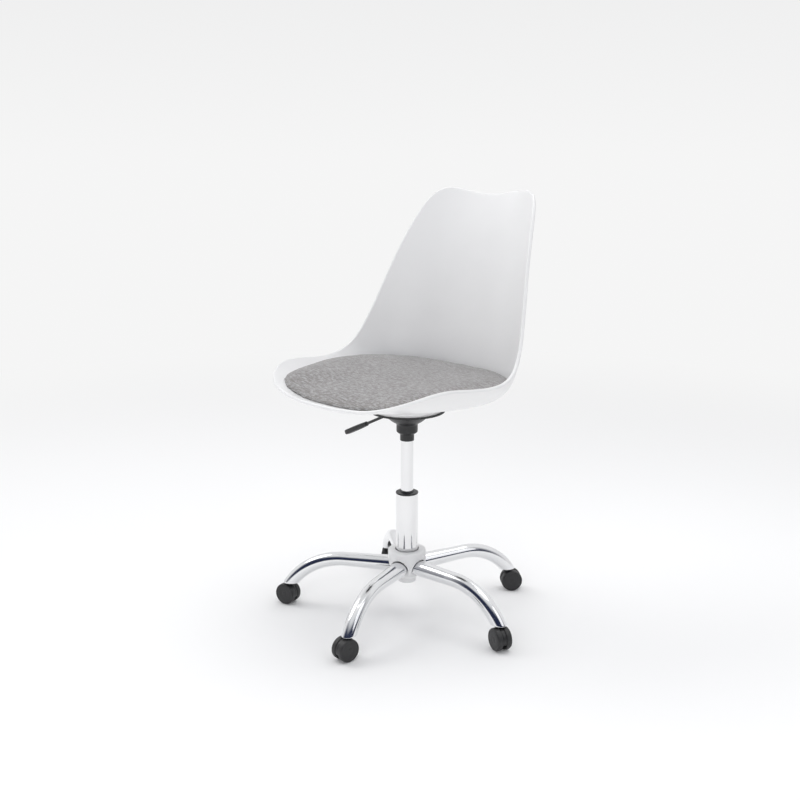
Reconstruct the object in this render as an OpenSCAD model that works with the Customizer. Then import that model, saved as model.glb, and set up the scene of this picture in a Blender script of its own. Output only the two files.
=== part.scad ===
// Swivel desk chair: plastic shell with a fabric pad, gas column, five-leg base on twin-wheel casters.
// Millimetres. +Z is up, the chair faces -Y, the origin is on the floor under the column.

/* [Base] */
// Radius of the circle that the caster stems stand on
stem_circle_r = 270; // [225:1:330]
// Diameter of a leg tube along its outer half
leg_d = 32; // [28:0.5:34]
// Diameter of a leg tube where it meets the hub
leg_root_d = 37.6; // [34:0.2:38]
// Wall of a leg tube
leg_wall = 2; // [1.5:0.1:2.5]
// Radius of the bend that turns a leg down to its caster
leg_bend_r = 150; // [120:1:180]
// Height of a leg's centreline at the start of the bend
leg_bend_z = 117; // [110:1:122]
// Rise of a leg from the hub to its bend, in degrees
leg_rise = 1.5; // [0:0.5:3]
// Height of the leg's flat cut above the casters
leg_clear = 1; // [0.5:0.1:3]

/* [Hub] */
// Outer radius of the hub cover
hub_r = 43; // [42:1:50]
// Height of the top of the hub cover
hub_top_z = 152; // [145:1:165]
// Height where the hub cover starts to narrow
hub_waist_z = 118; // [112:1:124]
// Height of the lower edge of the hub cover
hub_skirt_z = 101; // [99:1:108]
// Wall of the hub cover
hub_wall = 3; // [2:0.5:4]
// Radius of the rounding on top of the hub cover
hub_round = 5; // [3:0.5:8]
// Outer radius of the hub's lower tube
hub_foot_r = 20.5; // [20:0.5:24]
// Height of the lower end of the hub
hub_foot_z = 75; // [70:1:80]

/* [Column] */
// Outer diameter of the standpipe
pipe_d = 50; // [40:1:60]
// Wall of the standpipe
pipe_wall = 2; // [1.5:0.1:3]
// Height of the standpipe's mouth
pipe_top_z = 284; // [270:1:286]
// Outer diameter of the gas cylinder
cylinder_d = 28; // [23:0.1:34]
// Wall of the gas cylinder
cylinder_wall = 1.5; // [1:0.1:2]
// Diameter of the piston rod
rod_d = 10; // [8:0.5:11]
// Length of the guide bush inside the standpipe
bush_len = 58; // [40:1:60]
// How far the seat can be lowered
stroke = 120; // [90:5:120]

/* [Mechanism] */
// Height of the lower end of the mechanism's sleeve, with the seat fully up
sleeve_z = 407; // [402:1:440]
// Height of the seat plate's upper face above the sleeve's lower end
plate_rise = 70; // [66:1:78]
// Diameter of the round seat plate
plate_d = 168; // [160:1:190]
// Thickness of the seat plate
plate_t = 3; // [2:0.5:4]
// Diameter of the circle that the seat bolts stand on
bolt_circle_d = 138; // [130:1:146]
// Thread diameter of the seat bolts
bolt_d = 6; // [5:1:6]
// Diameter of the lever's rod
lever_d = 6.6; // [5:0.2:7]
// Slope of the lever below level, in degrees
lever_slope = 26; // [15:0.5:30]
// Length of the lever's sloping part, from its bend to the end of the grip
lever_len = 179; // [140:1:200]
// Length of the lever's grip
grip_len = 74; // [50:1:80]
// How far the lever lifts, in degrees
lever_lift = 6.5; // [4:0.5:6.5]

/* [Shell] */
// Half of the seat's width between its widest control points
seat_half_w = 253; // [215:1:300]
// Height of the backrest above the dish of the seat
back_h = 459; // [380:1:550]
// Thickness of the plastic
shell_t = 5; // [4:0.5:6]
// Height of the rolled rim
rim_h = 8; // [7:0.5:10]
// Radius of the round boss under the seat
boss_r = 80; // [76:1:82]

/* [Pad] */
// Height of the pad's middle above the dish of the shell
pad_h = 75; // [45:1:80]
// Height of the pad's rounded edge
pad_edge = 14; // [12:1:30]

/* [Casters] */
// Diameter of a wheel
wheel_d = 49.6; // [41:0.1:60]
// Width of one wheel
wheel_w = 12.5; // [10:0.5:14]
// Space between the two wheels
wheel_gap = 9; // [8:0.5:11]
// Distance from the stem's axis to the axle
trail = 12; // [8:0.5:14]
// Diameter of a caster stem
stem_d = 8; // [7:0.5:10]
// Length of a caster stem above the caster
stem_len = 15; // [12:0.5:16]
// Diameter of a caster's axle
axle_d = 6; // [5:0.5:8]
// Turn of each caster from the direction of its leg, in degrees
caster_turn = -22; // [-180:1:180]

/* [Hidden] */
$fn = 64;
leg_count = 5;
run_gap = 0.05;   // radial clearance of a shaft that turns or slides in its hole
free_gap = 0.4;   // space between pieces that move past each other
seat_gap = 0.2;   // space between pieces that are only set together

// base
leg_pitch = 360 / leg_count;
wheel_r = wheel_d / 2;
flange_t = 2.5;                                        // flange on top of a caster
flange_z = wheel_d + free_gap;
leg_end_z = flange_z + flange_t + leg_clear;
barrel_r = leg_root_d / 2 / tan(leg_pitch / 2) / cos(leg_pitch / 2) + 1;  // keeps the leg roots apart
root_z = leg_bend_z - tan(leg_rise) * (leg_bend_x() - barrel_r);
barrel_z0 = root_z - leg_root_d / 2 - 2;
barrel_z1 = root_z + leg_root_d / 2 + 1;
bend_turn = acos((leg_end_z - leg_bend_z + leg_bend_r * cos(leg_rise)) / leg_bend_r);
leg_swage_len = 95;                                    // length of the tapered part of a leg
function leg_bend_x() = stem_circle_r + 2 - leg_bend_r * (sin(leg_rise)
    + sin(acos((leg_end_z - leg_bend_z + leg_bend_r * cos(leg_rise)) / leg_bend_r)));
arch_gap = 1;                                          // space round a leg in the hub cover

// column
pipe_r = pipe_d / 2;
cylinder_r = cylinder_d / 2;
rod_r = rod_d / 2;
neck_r = hub_foot_r - 2.5;                             // narrow foot of the standpipe
neck_bore_r = neck_r - pipe_wall;
floor_t = 4;
floor_z = hub_foot_z + 1;                              // underside of the standpipe's floor
step_z = barrel_z0 + 10;                               // shoulder of the standpipe in the hub
spigot_r = rod_r - 1;                                  // thin foot of the rod, through the bearing
race_t = 2;
ball_r = 1.5;
bearing_z = floor_z + floor_t;
race_z = bearing_z + race_t + 2 * ball_r + 2 * run_gap;
rod_foot_z = race_z + race_t;                          // shoulder of the rod on the upper race
clip_t = 2;
washer_t = 1.5;
clip_z = floor_z - washer_t - clip_t - 2 * run_gap;
spigot_z = clip_z - 2.5;
gland_t = 10;
cylinder_z = rod_foot_z + stroke + 4;                  // lower end of the cylinder, seat fully up
piston_z = cylinder_z + gland_t + 3;
piston_t = 14;
bush_lip = 3;

// mechanism
plate_z = sleeve_z + plate_rise;                       // upper face of the seat plate
plate_r = plate_d / 2;
socket_z = sleeve_z + 42;                              // end of the tapered socket
taper_z = sleeve_z + 6;                                // start of the cylinder's taper
taper_r = cylinder_r - 1;                              // radius at the end of the taper
cylinder_bore = cylinder_r - cylinder_wall;
lever_r = lever_d / 2;
pivot_x = -22;
pivot_z = plate_z - plate_t - 7;
pivot_r = 2.5;
lever_hub_r = 5.6;
pin_r = 3;
pin_top_z = pivot_z - lever_r - seat_gap;
slot_w = 13.6;
slot_z = pivot_z - 15.5;
bend_x = pivot_x - 12;                                 // bend of the lever, just inside the housing
bolt_count = 4;
bolt_head_h = 4;
insert_h = 8;

// shell: the centre line runs from the front edge over the dish and up the back, as [forward, up]
dish_z = plate_z + 13;                                 // inside of the dish, over the column
back_k = back_h / 459;
spine = [
    [289, dish_z + 51], [158, dish_z + 20], [42, dish_z + 3], [-100, dish_z - 9], [-188, dish_z + 7],
    [-200, dish_z + 139 * back_k], [-215, dish_z + 311 * back_k], [-270, dish_z + 459 * back_k]
];
spine_len = 880;                                       // measure along the centre line, front to top
wall_rise = [70, 98, 137, 152, 139, 118];              // how high the sides stand, front to top
wall_power = 3.08;                                     // how late the sides start to rise
wall_base = 250;                                       // half width at which the sides reach that height
side_k = seat_half_w / 253;
// trimmed edge of the shell as [along the centre line, half width], front centre to top centre
outline = [
    [19, 0], [46, 130], [63, 181], [132, 234], [264, 233], [419, 253],
    [550, 238], [690, 203], [812, 168], [889, 135], [856, 0]
];
// edge of the pad in the same measures
pad_outline = [
    [40, 0], [52, 90], [68, 158], [106, 202], [237, 218], [365, 243], [470, 231], [536, 149], [539, 0]
];
pad_mid = 300;                                         // middle of the pad along the centre line
pad_gap = 1.2;                                         // space between pad and shell

// ---------- curves ----------

// weights of a uniform cubic B-spline
function weights(f) = [
    pow(1 - f, 3) / 6, (3 * pow(f, 3) - 6 * f * f + 4) / 6,
    (-3 * pow(f, 3) + 3 * f * f + 3 * f + 1) / 6, pow(f, 3) / 6
];
// point of the spline with the control points c, whose ends are extended by first and last
function spline(c, first, last, t) =
    let (n = len(c) - 1, x = min(max(t, 0), 0.99999) * n, i = floor(x), w = weights(x - i))
    w[0] * (i == 0 ? first : c[i - 1]) + w[1] * c[i] + w[2] * c[i + 1]
    + w[3] * (i + 2 > n ? last : c[i + 2]);
// open spline that runs on straight past its ends
function open_spline(c, t) = let (n = len(c) - 1)
    spline(c, 2 * c[0] - c[1], 2 * c[n] - c[n - 1], t);
// half of an outline that is symmetric about the chair's middle
function half_outline(c, t) = let (n = len(c) - 1)
    spline(c, [c[1][0], -c[1][1]], [c[n - 1][0], -c[n - 1][1]], t);

// ---------- the shell's surface ----------

// direction in which the sides rise, in degrees above level: upright by the seat, forward by the back
function wall_dir(t) = 81.6 - 50.2 / (1 + exp(-(t - 0.282) * 11.6));
// inner face of the shell at p along the centre line and q to the side
function inner(p, q) =
    let (t = p / spine_len, c = open_spline(spine, t),
         h = open_spline(wall_rise, t) * pow(abs(q) / wall_base, wall_power))
    [q * side_k, -c[0] - h * cos(wall_dir(t)), c[1] + h * sin(wall_dir(t))];
function unit(v) = v / norm(v);
// outward normal, away from the sitter
function outward(p, q) =
    unit(cross(inner(p + 0.5, q) - inner(p - 0.5, q), inner(p, q + 0.5) - inner(p, q - 0.5)));
function outer(p, q, t) = inner(p, q) + t * outward(p, q);

shell_cols = 52;                                       // columns along half of the edge
shell_rings = 11;                                      // rings from the centre line to the edge
rim_steps = 5;                                         // steps round the rolled rim
rim_in = 4.5;                                          // how far the rolled rim reaches in below
function core_p(t) = 442 - 333 * cos(180 * t);         // foot on the centre line of each column
function edge_at(t) = half_outline(outline, t);
// point of the sheet, k = 0 on the centre line to 1 at the edge, side = 1 or -1
function sheet_pq(t, k, side) = let (e = edge_at(t), c = core_p(t)) [c + (e[0] - c) * k, side * e[1] * k];
function col_t(c) = (c <= shell_cols ? c : 2 * shell_cols - c) / shell_cols;
function col_side(c) = c <= shell_cols ? 1 : -1;
// outward direction along the sheet at the edge, square to the rim
function rim_out(t, side) =
    let (d = 0.002, a = sheet_pq(max(t - d, 0), 1, side), b = sheet_pq(min(t + d, 1), 1, side),
         e = sheet_pq(t, 1, side), n = outward(e[0], e[1]),
         run = unit(inner(b[0], b[1]) - inner(a[0], a[1])), o = cross(n, run))
    (t == 0 || t == 1) ? let (m = sheet_pq(t, 0.98, side)) unit(inner(e[0], e[1]) - inner(m[0], m[1]))
                       : side * o;
function edge_len(t) = let (e = edge_at(t), m = sheet_pq(t, 0.9, 1))
    norm(inner(e[0], e[1]) - inner(m[0], m[1])) / 0.1;

// one ring of the shell's skin, from the inner centre line over the rim to the outer centre line
function ring_point(r, t, side) =
    r <= shell_rings ? let (e = sheet_pq(t, r / shell_rings, side)) inner(e[0], e[1])
    : r <= shell_rings + rim_steps ?
        let (a = 180 * (r - shell_rings) / rim_steps, e = sheet_pq(t, 1, side))
        inner(e[0], e[1]) + rim_h / 2 * (sin(a) * rim_out(t, side) + (1 - cos(a)) * outward(e[0], e[1]))
    : r == shell_rings + rim_steps + 1 ?
        let (e = sheet_pq(t, 1 - rim_in / edge_len(t), side)) outer(e[0], e[1], rim_h - 0.5)
    : let (k = (2 * shell_rings + rim_steps + 2 - r) / shell_rings * (1 - rim_in / edge_len(t)),
           e = sheet_pq(t, k, side)) outer(e[0], e[1], shell_t);

// closed skin of rows that share their first and last row's points on the chair's middle
module mirrored_skin(rows, cols) {
    last = len(rows) - 1;
    start = cols + 1;
    total = start + (last - 1) * 2 * cols;
    points = concat(
        [for (c = [0:cols]) rows[0][c]],
        [for (r = [1:last - 1], c = [0:2 * cols - 1]) rows[r][c]],
        [for (c = [0:cols]) rows[last][c]]
    );
    function fold(c) = let (m = c % (2 * cols)) m <= cols ? m : 2 * cols - m;
    function id(r, c) = r == 0 ? fold(c) : r == last ? total + fold(c)
        : start + (r - 1) * 2 * cols + c % (2 * cols);
    faces = concat(
        [for (r = [0:last - 1], c = [0:2 * cols - 1]) each
            let (a = id(r, c), b = id(r, c + 1), d = id(r + 1, c + 1), e = id(r + 1, c))
            r == 0 ? concat([[a, b, d]], [[a, d, e]])
            : r == last - 1 ? concat([[a, b, e]], [[b, d, e]]) : [[a, b, d], [a, d, e]]]
    );
    polyhedron(points, faces, convexity = 10);
}

// block that reaches from below the boss up into the shell's wall, depth below its inner face
module under_block(depth) {
    n = 10;
    half = boss_r + 15;
    function p_of(i) = pad_mid + 10 + half * (2 * i / n - 1);
    function q_of(j) = half * (2 * j / n - 1);
    points = [for (low = [0, 1], i = [0:n], j = [0:n])
        let (a = outer(p_of(i), q_of(j), depth)) low == 1 ? [a[0], a[1], plate_z - 10] : a];
    function id(low, i, j) = low * (n + 1) * (n + 1) + i * (n + 1) + j;
    edge = concat([for (j = [0:n - 1]) [0, j]], [for (i = [0:n - 1]) [i, n]],
        [for (j = [n:-1:1]) [n, j]], [for (i = [n:-1:1]) [i, 0]]);
    m = len(edge);
    faces = concat(
        [for (i = [0:n - 1], j = [0:n - 1]) each [
            [id(0, i, j), id(0, i + 1, j), id(0, i + 1, j + 1)],
            [id(0, i, j), id(0, i + 1, j + 1), id(0, i, j + 1)]]],
        [for (k = [0:m - 1]) let (a = edge[k], b = edge[(k + 1) % m])
            [id(0, a[0], a[1]), id(0, b[0], b[1]), id(1, b[0], b[1]), id(1, a[0], a[1])]],
        [[for (k = [m - 1:-1:0]) id(1, edge[k][0], edge[k][1])]]
    );
    polyhedron(points, faces, convexity = 4);
}

module seat_shell() color("white") {
    rows = [for (r = [0:2 * shell_rings + rim_steps + 2])
        [for (c = [0:2 * shell_cols - 1]) ring_point(r, col_t(c), col_side(c))]];
    difference() {
        union() {
            mirrored_skin(rows, shell_cols);
            intersection() {
                translate([0, 0, plate_z + seat_gap / 2]) cylinder(r = boss_r, h = 40);
                under_block(shell_t * 0.6);
            }
        }
        at_bolts() translate([0, 0, plate_z - 1]) cylinder(d = insert_d(), h = insert_h + 1 + seat_gap);
    }
}

// ---------- the pad ----------

pad_cols = 30;
pad_rings = [0.25, 0.5, 0.7, 0.84, 0.93, 0.98];
function pad_pq(t, k, side) = let (e = half_outline(pad_outline, t)) [pad_mid + (e[0] - pad_mid) * k, side * e[1] * k];
function pad_under(t, k, side) = let (e = pad_pq(t, k, side)) outer(e[0], e[1], -pad_gap);
function pad_top(t, k, side) =
    let (low = pad_under(t, k, side), rim = pad_under(t, 1, side)[2] + pad_edge,
         mid = dish_z + pad_h, crown = mid + (rim - mid) * k * k, roll = sqrt(1 - pow(k, 12)))
    [low[0], low[1], low[2] + (crown - low[2]) * roll];

module pad_body() {
    n = 2 * pad_cols;
    m = len(pad_rings);
    function t_of(c) = (c <= pad_cols ? c : n - c) / pad_cols;
    function s_of(c) = c <= pad_cols ? 1 : -1;
    points = concat(
        [outer(pad_mid, 0, -pad_gap) + [0, 0, dish_z + pad_h - outer(pad_mid, 0, -pad_gap)[2]]],
        [for (k = pad_rings, c = [0:n - 1]) pad_top(t_of(c), k, s_of(c))],
        [for (c = [0:n - 1]) pad_under(t_of(c), 1, s_of(c))],
        [for (i = [m - 1:-1:0], c = [0:n - 1]) pad_under(t_of(c), pad_rings[i], s_of(c))],
        [outer(pad_mid, 0, -pad_gap)]
    );
    rings = 2 * m + 1;
    function id(r, c) = 1 + r * n + c % n;
    faces = concat(
        [for (c = [0:n - 1]) [0, id(0, c + 1), id(0, c)]],
        [for (r = [0:rings - 2], c = [0:n - 1]) each
            [[id(r, c), id(r, c + 1), id(r + 1, c + 1)], [id(r, c), id(r + 1, c + 1), id(r + 1, c)]]],
        [for (c = [0:n - 1]) [1 + rings * n, id(rings - 1, c), id(rings - 1, c + 1)]]
    );
    polyhedron(points, faces, convexity = 6);
}
module seat_cushion() color("darkgray") pad_body();

// ---------- base ----------

module at_leg(i) rotate([0, 0, leg_pitch * (i - 1)]) children();

// solid along a leg's centreline, from inside the hub to past the flat cut
module leg_solid(inset) {
    over = 14;                                         // degrees of bend past the cut
    straight = leg_bend_x() - barrel_r - leg_swage_len;
    translate([leg_bend_x() + leg_bend_r * sin(leg_rise), 0, leg_bend_z - leg_bend_r * cos(leg_rise)])
        rotate([0, -90 - leg_rise, 0]) rotate([-90, 0, 0]) {
            rotate_extrude(angle = bend_turn + leg_rise + over)
                translate([leg_bend_r, 0]) circle(d = leg_d - 2 * inset);
            translate([leg_bend_r, 0, 0]) rotate([90, 0, 0]) {
                cylinder(d = leg_d - 2 * inset, h = straight);
                translate([0, 0, straight])
                    cylinder(d1 = leg_d - 2 * inset, d2 = leg_root_d - 2 * inset, h = leg_swage_len + 12);
            }
        }
}

module leg(i) color("silver") at_leg(i) difference() {
    leg_solid(0);
    leg_solid(leg_wall);
    translate([0, 0, root_z - 60]) cylinder(r = barrel_r + seat_gap / 10, h = 120);
    translate([stem_circle_r - 80, -40, leg_end_z - 100]) cube([160, 80, 100]);
}

sleeve_r = 12;
sleeve_h = stem_len + 3;
module stem_sleeves() color("lightgray") for (i = [1:leg_count]) at_leg(i)
    translate([stem_circle_r, 0, leg_end_z]) difference() {
        intersection() {
            cylinder(r = sleeve_r, h = sleeve_h);
            translate([-stem_circle_r, 0, -leg_end_z]) leg_solid(leg_wall + run_gap);
        }
        translate([0, 0, -1]) cylinder(d = stem_d + 2 * run_gap, h = stem_len - leg_clear + 1.8);
    }

module hub_core() color("gainsboro") rotate_extrude() polygon([
    [neck_r, hub_foot_z], [hub_foot_r, hub_foot_z], [hub_foot_r, barrel_z0 - 8], [barrel_r, barrel_z0],
    [barrel_r, barrel_z1], [pipe_r, barrel_z1], [pipe_r, step_z], [neck_r, step_z]
]);

// outer half-profile of the hub cover, taken in by the given wall
module hub_profile(w) polygon(concat(
    [[0, hub_skirt_z - (w > 0 ? 1 : 0)], [barrel_r + 3 - w, hub_skirt_z - (w > 0 ? 1 : 0)], [hub_r - w, hub_waist_z]],
    [for (a = [0:15:90]) [hub_r - w - hub_round * (1 - cos(a)), hub_top_z - w - hub_round * (1 - sin(a))]],
    [[0, hub_top_z - w]]
));
module hub_cover() color("gainsboro") difference() {
    rotate_extrude() hub_profile(0);
    rotate_extrude() hub_profile(hub_wall);
    translate([0, 0, hub_top_z - 20]) cylinder(r = pipe_r + arch_gap, h = 30);
    for (i = [1:leg_count]) at_leg(i) {
        translate([barrel_r - 4, 0, root_z]) rotate([0, 90, 0]) cylinder(d = leg_root_d + 2 * arch_gap, h = 40);
        translate([barrel_r - 4, -leg_root_d / 2 - arch_gap, root_z - 60]) cube([40, leg_root_d + 2 * arch_gap, 60]);
    }
}

// ---------- column ----------

module standpipe() color("whitesmoke") rotate_extrude() polygon([
    [neck_r, floor_z], [neck_r, step_z], [pipe_r, step_z], [pipe_r, pipe_top_z],
    [pipe_r - pipe_wall, pipe_top_z], [pipe_r - pipe_wall, step_z + pipe_wall],
    [neck_bore_r, step_z + pipe_wall], [neck_bore_r, floor_z]
]);

module ring(r_out, r_in, h) difference() {
    cylinder(r = r_out, h = h);
    translate([0, 0, -1]) cylinder(r = r_in, h = h + 2);
}

module pipe_floor() color("silver") translate([0, 0, floor_z])
    ring(neck_bore_r, spigot_r + run_gap, floor_t);

module column_bush() color("black") rotate_extrude() polygon([
    [cylinder_r + run_gap, pipe_top_z - bush_len], [pipe_r - pipe_wall, pipe_top_z - bush_len],
    [pipe_r - pipe_wall, pipe_top_z], [pipe_r, pipe_top_z], [pipe_r, pipe_top_z + bush_lip - 1],
    [pipe_r - 1, pipe_top_z + bush_lip], [cylinder_r + 2.5, pipe_top_z + bush_lip],
    [cylinder_r + run_gap, pipe_top_z + bush_lip - 2]
]);

race_r = neck_bore_r - 1.5;
module lower_race() color("silver") translate([0, 0, bearing_z]) ring(race_r, spigot_r + run_gap, race_t);
module upper_race() color("silver") translate([0, 0, race_z]) ring(race_r, spigot_r, race_t);

ball_count = 10;
ball_circle_r = (race_r + spigot_r) / 2;
module ball_cage() color("gold") translate([0, 0, bearing_z + race_t + run_gap + ball_r]) {
    difference() {
        translate([0, 0, -ball_r / 2]) ring(race_r - 0.5, spigot_r + 0.5, ball_r);
        at_balls() sphere(r = ball_r + run_gap);
    }
    at_balls() sphere(r = ball_r);
}
module at_balls() for (i = [1:ball_count]) rotate([0, 0, 360 * i / ball_count])
    translate([ball_circle_r, 0, 0]) children();

clip_groove = 0.8;
module piston_rod() color("silver") rotate_extrude() polygon([
    [0, spigot_z], [spigot_r, spigot_z], [spigot_r, clip_z], [spigot_r - clip_groove, clip_z],
    [spigot_r - clip_groove, clip_z + clip_t], [spigot_r, clip_z + clip_t], [spigot_r, rod_foot_z],
    [rod_r, rod_foot_z], [rod_r, piston_z], [rod_r - 1.5, piston_z],
    [rod_r - 1.5, piston_z + piston_t], [0, piston_z + piston_t]
]);
module rod_clip() color("dimgray") translate([0, 0, clip_z]) difference() {
    cylinder(r = spigot_r + 3.5, h = clip_t);
    translate([0, 0, -1]) cylinder(r = spigot_r - clip_groove, h = clip_t + 2);
    translate([0, -spigot_r * 0.7, -1]) cube([20, spigot_r * 1.4, clip_t + 2]);
}
module rod_washer() color("silver") translate([0, 0, clip_z + clip_t]) ring(spigot_r + 5, spigot_r, washer_t);
module piston() color("dimgray") translate([0, 0, piston_z]) ring(cylinder_bore - run_gap, rod_r - 1.5, piston_t);

// ---------- gas cylinder and mechanism, which rise and fall ----------

module gas_cylinder() color("whitesmoke") rotate_extrude() polygon([
    [cylinder_bore, cylinder_z], [cylinder_r, cylinder_z], [cylinder_r, taper_z], [taper_r, socket_z],
    [pin_r + run_gap, socket_z], [pin_r + run_gap, socket_z - 14], [cylinder_bore, socket_z - 16]
]);
module cylinder_gland() color("dimgray") translate([0, 0, cylinder_z])
    ring(cylinder_bore, rod_r + run_gap, gland_t);

pin_low_z = socket_z - 10;
module release_pin() color("silver") translate([0, 0, pin_low_z]) cylinder(r = pin_r, h = pin_top_z - pin_low_z);

// vertical hole for the lever's works, over the cylinder
works_r = 15;
module mechanism_housing() color([0.16, 0.16, 0.17]) difference() {
    rotate_extrude() polygon([
        [0, sleeve_z], [15.7, sleeve_z], [15.7, sleeve_z + 14], [20, sleeve_z + 17],
        [23.8, sleeve_z + 20], [23.8, sleeve_z + 37], [28, sleeve_z + 41], [34, sleeve_z + 44],
        [45, sleeve_z + 53], [59, plate_z - plate_t], [0, plate_z - plate_t]
    ]);
    translate([0, 0, sleeve_z - 1]) cylinder(r = cylinder_r + seat_gap / 4, h = taper_z - sleeve_z + 1);
    translate([0, 0, taper_z]) cylinder(r1 = cylinder_r + seat_gap / 4, r2 = taper_r + seat_gap / 4,
        h = socket_z - taper_z);
    translate([0, 0, socket_z]) cylinder(r = works_r, h = 40);
    translate([-70, -slot_w / 2, slot_z]) cube([70, slot_w, 40]);
    translate([pivot_x, 0, pivot_z]) rotate([90, 0, 0]) cylinder(r = pivot_r, h = 60, center = true);
}
pivot_len = slot_w + 14;
module lever_pivot() color("silver") translate([pivot_x, 0, pivot_z]) rotate([90, 0, 0])
    cylinder(r = pivot_r, h = pivot_len, center = true);

module seat_plate() color([0.1, 0.1, 0.1]) translate([0, 0, plate_z - plate_t]) difference() {
    cylinder(r = plate_r, h = plate_t);
    at_bolts() translate([0, 0, -1]) cylinder(d = bolt_d + 0.6, h = plate_t + 2);
}

module at_bolts() for (i = [1:bolt_count]) rotate([0, 0, 360 * (i - 0.5) / bolt_count])
    translate([bolt_circle_d / 2, 0, 0]) children();
function insert_d() = bolt_d + 4;
module seat_bolts() color("black") at_bolts() translate([0, 0, plate_z - plate_t]) {
    translate([0, 0, -bolt_head_h]) difference() {
        cylinder(d = bolt_d * 1.7, h = bolt_head_h);
        translate([0, 0, -1]) cylinder(d = bolt_d * 0.75, h = bolt_head_h / 2 + 1, $fn = 6);
    }
    cylinder(d = bolt_d, h = plate_t + insert_h - 1);
}
module seat_inserts() color("goldenrod") at_bolts() translate([0, 0, plate_z + seat_gap])
    ring(insert_d() / 2, bolt_d / 2, insert_h - seat_gap);

// ---------- lever ----------

// places children at the lever's bend, with +Z along its sloping part
module along_lever() translate([bend_x, 0, pivot_z]) rotate([0, -90 - lever_slope, 0]) children();
module lever_rod() color([0.12, 0.12, 0.12]) difference() {
    union() {
        translate([1, 0, pivot_z]) rotate([0, -90, 0]) cylinder(r = lever_r, h = 1 - bend_x);
        translate([bend_x, 0, pivot_z]) sphere(r = lever_r + 0.7);
        along_lever() cylinder(r = lever_r, h = lever_len - 12);
        translate([pivot_x, 0, pivot_z]) rotate([90, 0, 0]) cylinder(r = lever_hub_r, h = slot_w - 2, center = true);
    }
    translate([pivot_x, 0, pivot_z]) rotate([90, 0, 0]) cylinder(r = pivot_r + run_gap, h = 60, center = true);
}
grip_w = 20;
grip_t = 12;
module lever_grip() color([0.05, 0.05, 0.05]) along_lever() translate([0, 0, lever_len - grip_len]) difference() {
    intersection() {
        rotate_extrude() polygon([
            [0, 0], [lever_r + 2, 0], [lever_r + 2, 3], [grip_w * 0.38, grip_len * 0.3],
            [grip_w / 2, grip_len * 0.55], [grip_w / 2, grip_len * 0.9], [grip_w * 0.42, grip_len - 1.5],
            [grip_w * 0.35, grip_len], [0, grip_len]
        ]);
        translate([-grip_t / 2, -grip_w, -1]) cube([grip_t, 2 * grip_w, grip_len + 2]);
    }
    translate([0, 0, -1]) cylinder(r = lever_r, h = grip_len - 12 + 1);
}

// ---------- casters ----------

// places children at caster i, with the stem on Z and the axle at x = trail
module at_caster(i) at_leg(i) translate([stem_circle_r, 0, 0]) rotate([0, 0, caster_turn]) children();
hood_t = wheel_gap - 2 * free_gap;
pin_d = 5;                                             // foot of the stem, in the hood
module caster_stem(i) color("silver") at_caster(i) {
    translate([0, 0, wheel_r + 8]) cylinder(d = pin_d, h = flange_z - wheel_r - 8 + flange_t + 0.2);
    translate([0, 0, flange_z + flange_t]) cylinder(d = stem_d, h = stem_len);
}
module caster_hood(i) color([0.2, 0.2, 0.21]) at_caster(i) difference() {
    union() {
        intersection() {
            translate([trail, 0, wheel_r]) rotate([90, 0, 0]) cylinder(r = wheel_r - 1.2, h = hood_t, center = true);
            translate([-40, -20, wheel_r - 7]) cube([80, 40, 60]);
        }
        translate([-6.5, -hood_t / 2, wheel_r]) cube([13, hood_t, flange_z - wheel_r]);
        translate([0, 0, flange_z]) cylinder(r = 10.5, h = flange_t);
    }
    translate([trail, 0, wheel_r]) rotate([90, 0, 0]) cylinder(d = axle_d, h = 60, center = true);
    translate([0, 0, wheel_r + 8]) cylinder(d = pin_d, h = 60);
}
axle_end = 3;                                          // wall of the wheel outside the axle's end
module caster_axle(i) color("silver") at_caster(i) translate([trail, 0, wheel_r]) rotate([90, 0, 0])
    cylinder(d = axle_d, h = wheel_gap + 2 * (wheel_w - axle_end), center = true);

// half-profile of a wheel: [radius, distance from the caster's middle plane]
module wheel(i, side) color([0.18, 0.18, 0.19]) at_caster(i) translate([trail, 0, wheel_r])
    rotate([side * 90, 0, 0]) {
        y0 = wheel_gap / 2;
        y1 = y0 + wheel_w;
        bore = axle_d / 2 + run_gap;
        rotate_extrude() polygon([
            [bore, y0], [bore + 4, y0], [bore + 4, y1 - 3.2], [wheel_r - 4.5, y1 - 3.2], [wheel_r - 4.5, y0],
            [wheel_r - 0.8, y0], [wheel_r, y0 + 0.8], [wheel_r, y1 - 1.6], [wheel_r - 0.5, y1 - 0.5],
            [wheel_r - 1.6, y1], [0, y1], [0, y1 - axle_end + run_gap], [bore, y1 - axle_end + run_gap]
        ]);
    }

standpipe();
pipe_floor();
column_bush();
hub_core();
hub_cover();
stem_sleeves();
lower_race();
for (i = [1:leg_count]) leg(i);
piston_rod();
piston();
ball_cage();
upper_race();
rod_washer();
rod_clip();
gas_cylinder();
cylinder_gland();
release_pin();
mechanism_housing();
seat_plate();
lever_pivot();
lever_rod();
lever_grip();
seat_bolts();
seat_inserts();
seat_shell();
seat_cushion();
for (i = [1:leg_count]) {
    caster_stem(i);
    caster_hood(i);
    caster_axle(i);
    wheel(i, 1);
    wheel(i, -1);
}
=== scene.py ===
# %% [markdown]
# # A swivel desk chair
# A moulded plastic shell with a felt pad sits on a gas column. Five bent tubes and twin-wheel
# casters carry it. The frame below is the engineering model: it says where each piece is and
# how it moves. This script gives each piece the shape and the finish that the eye sees.

# %% Load the frame
import math

import bmesh
import bpy
import numpy as np
from mathutils import Matrix, Vector
from mathutils.bvhtree import BVHTree


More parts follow.
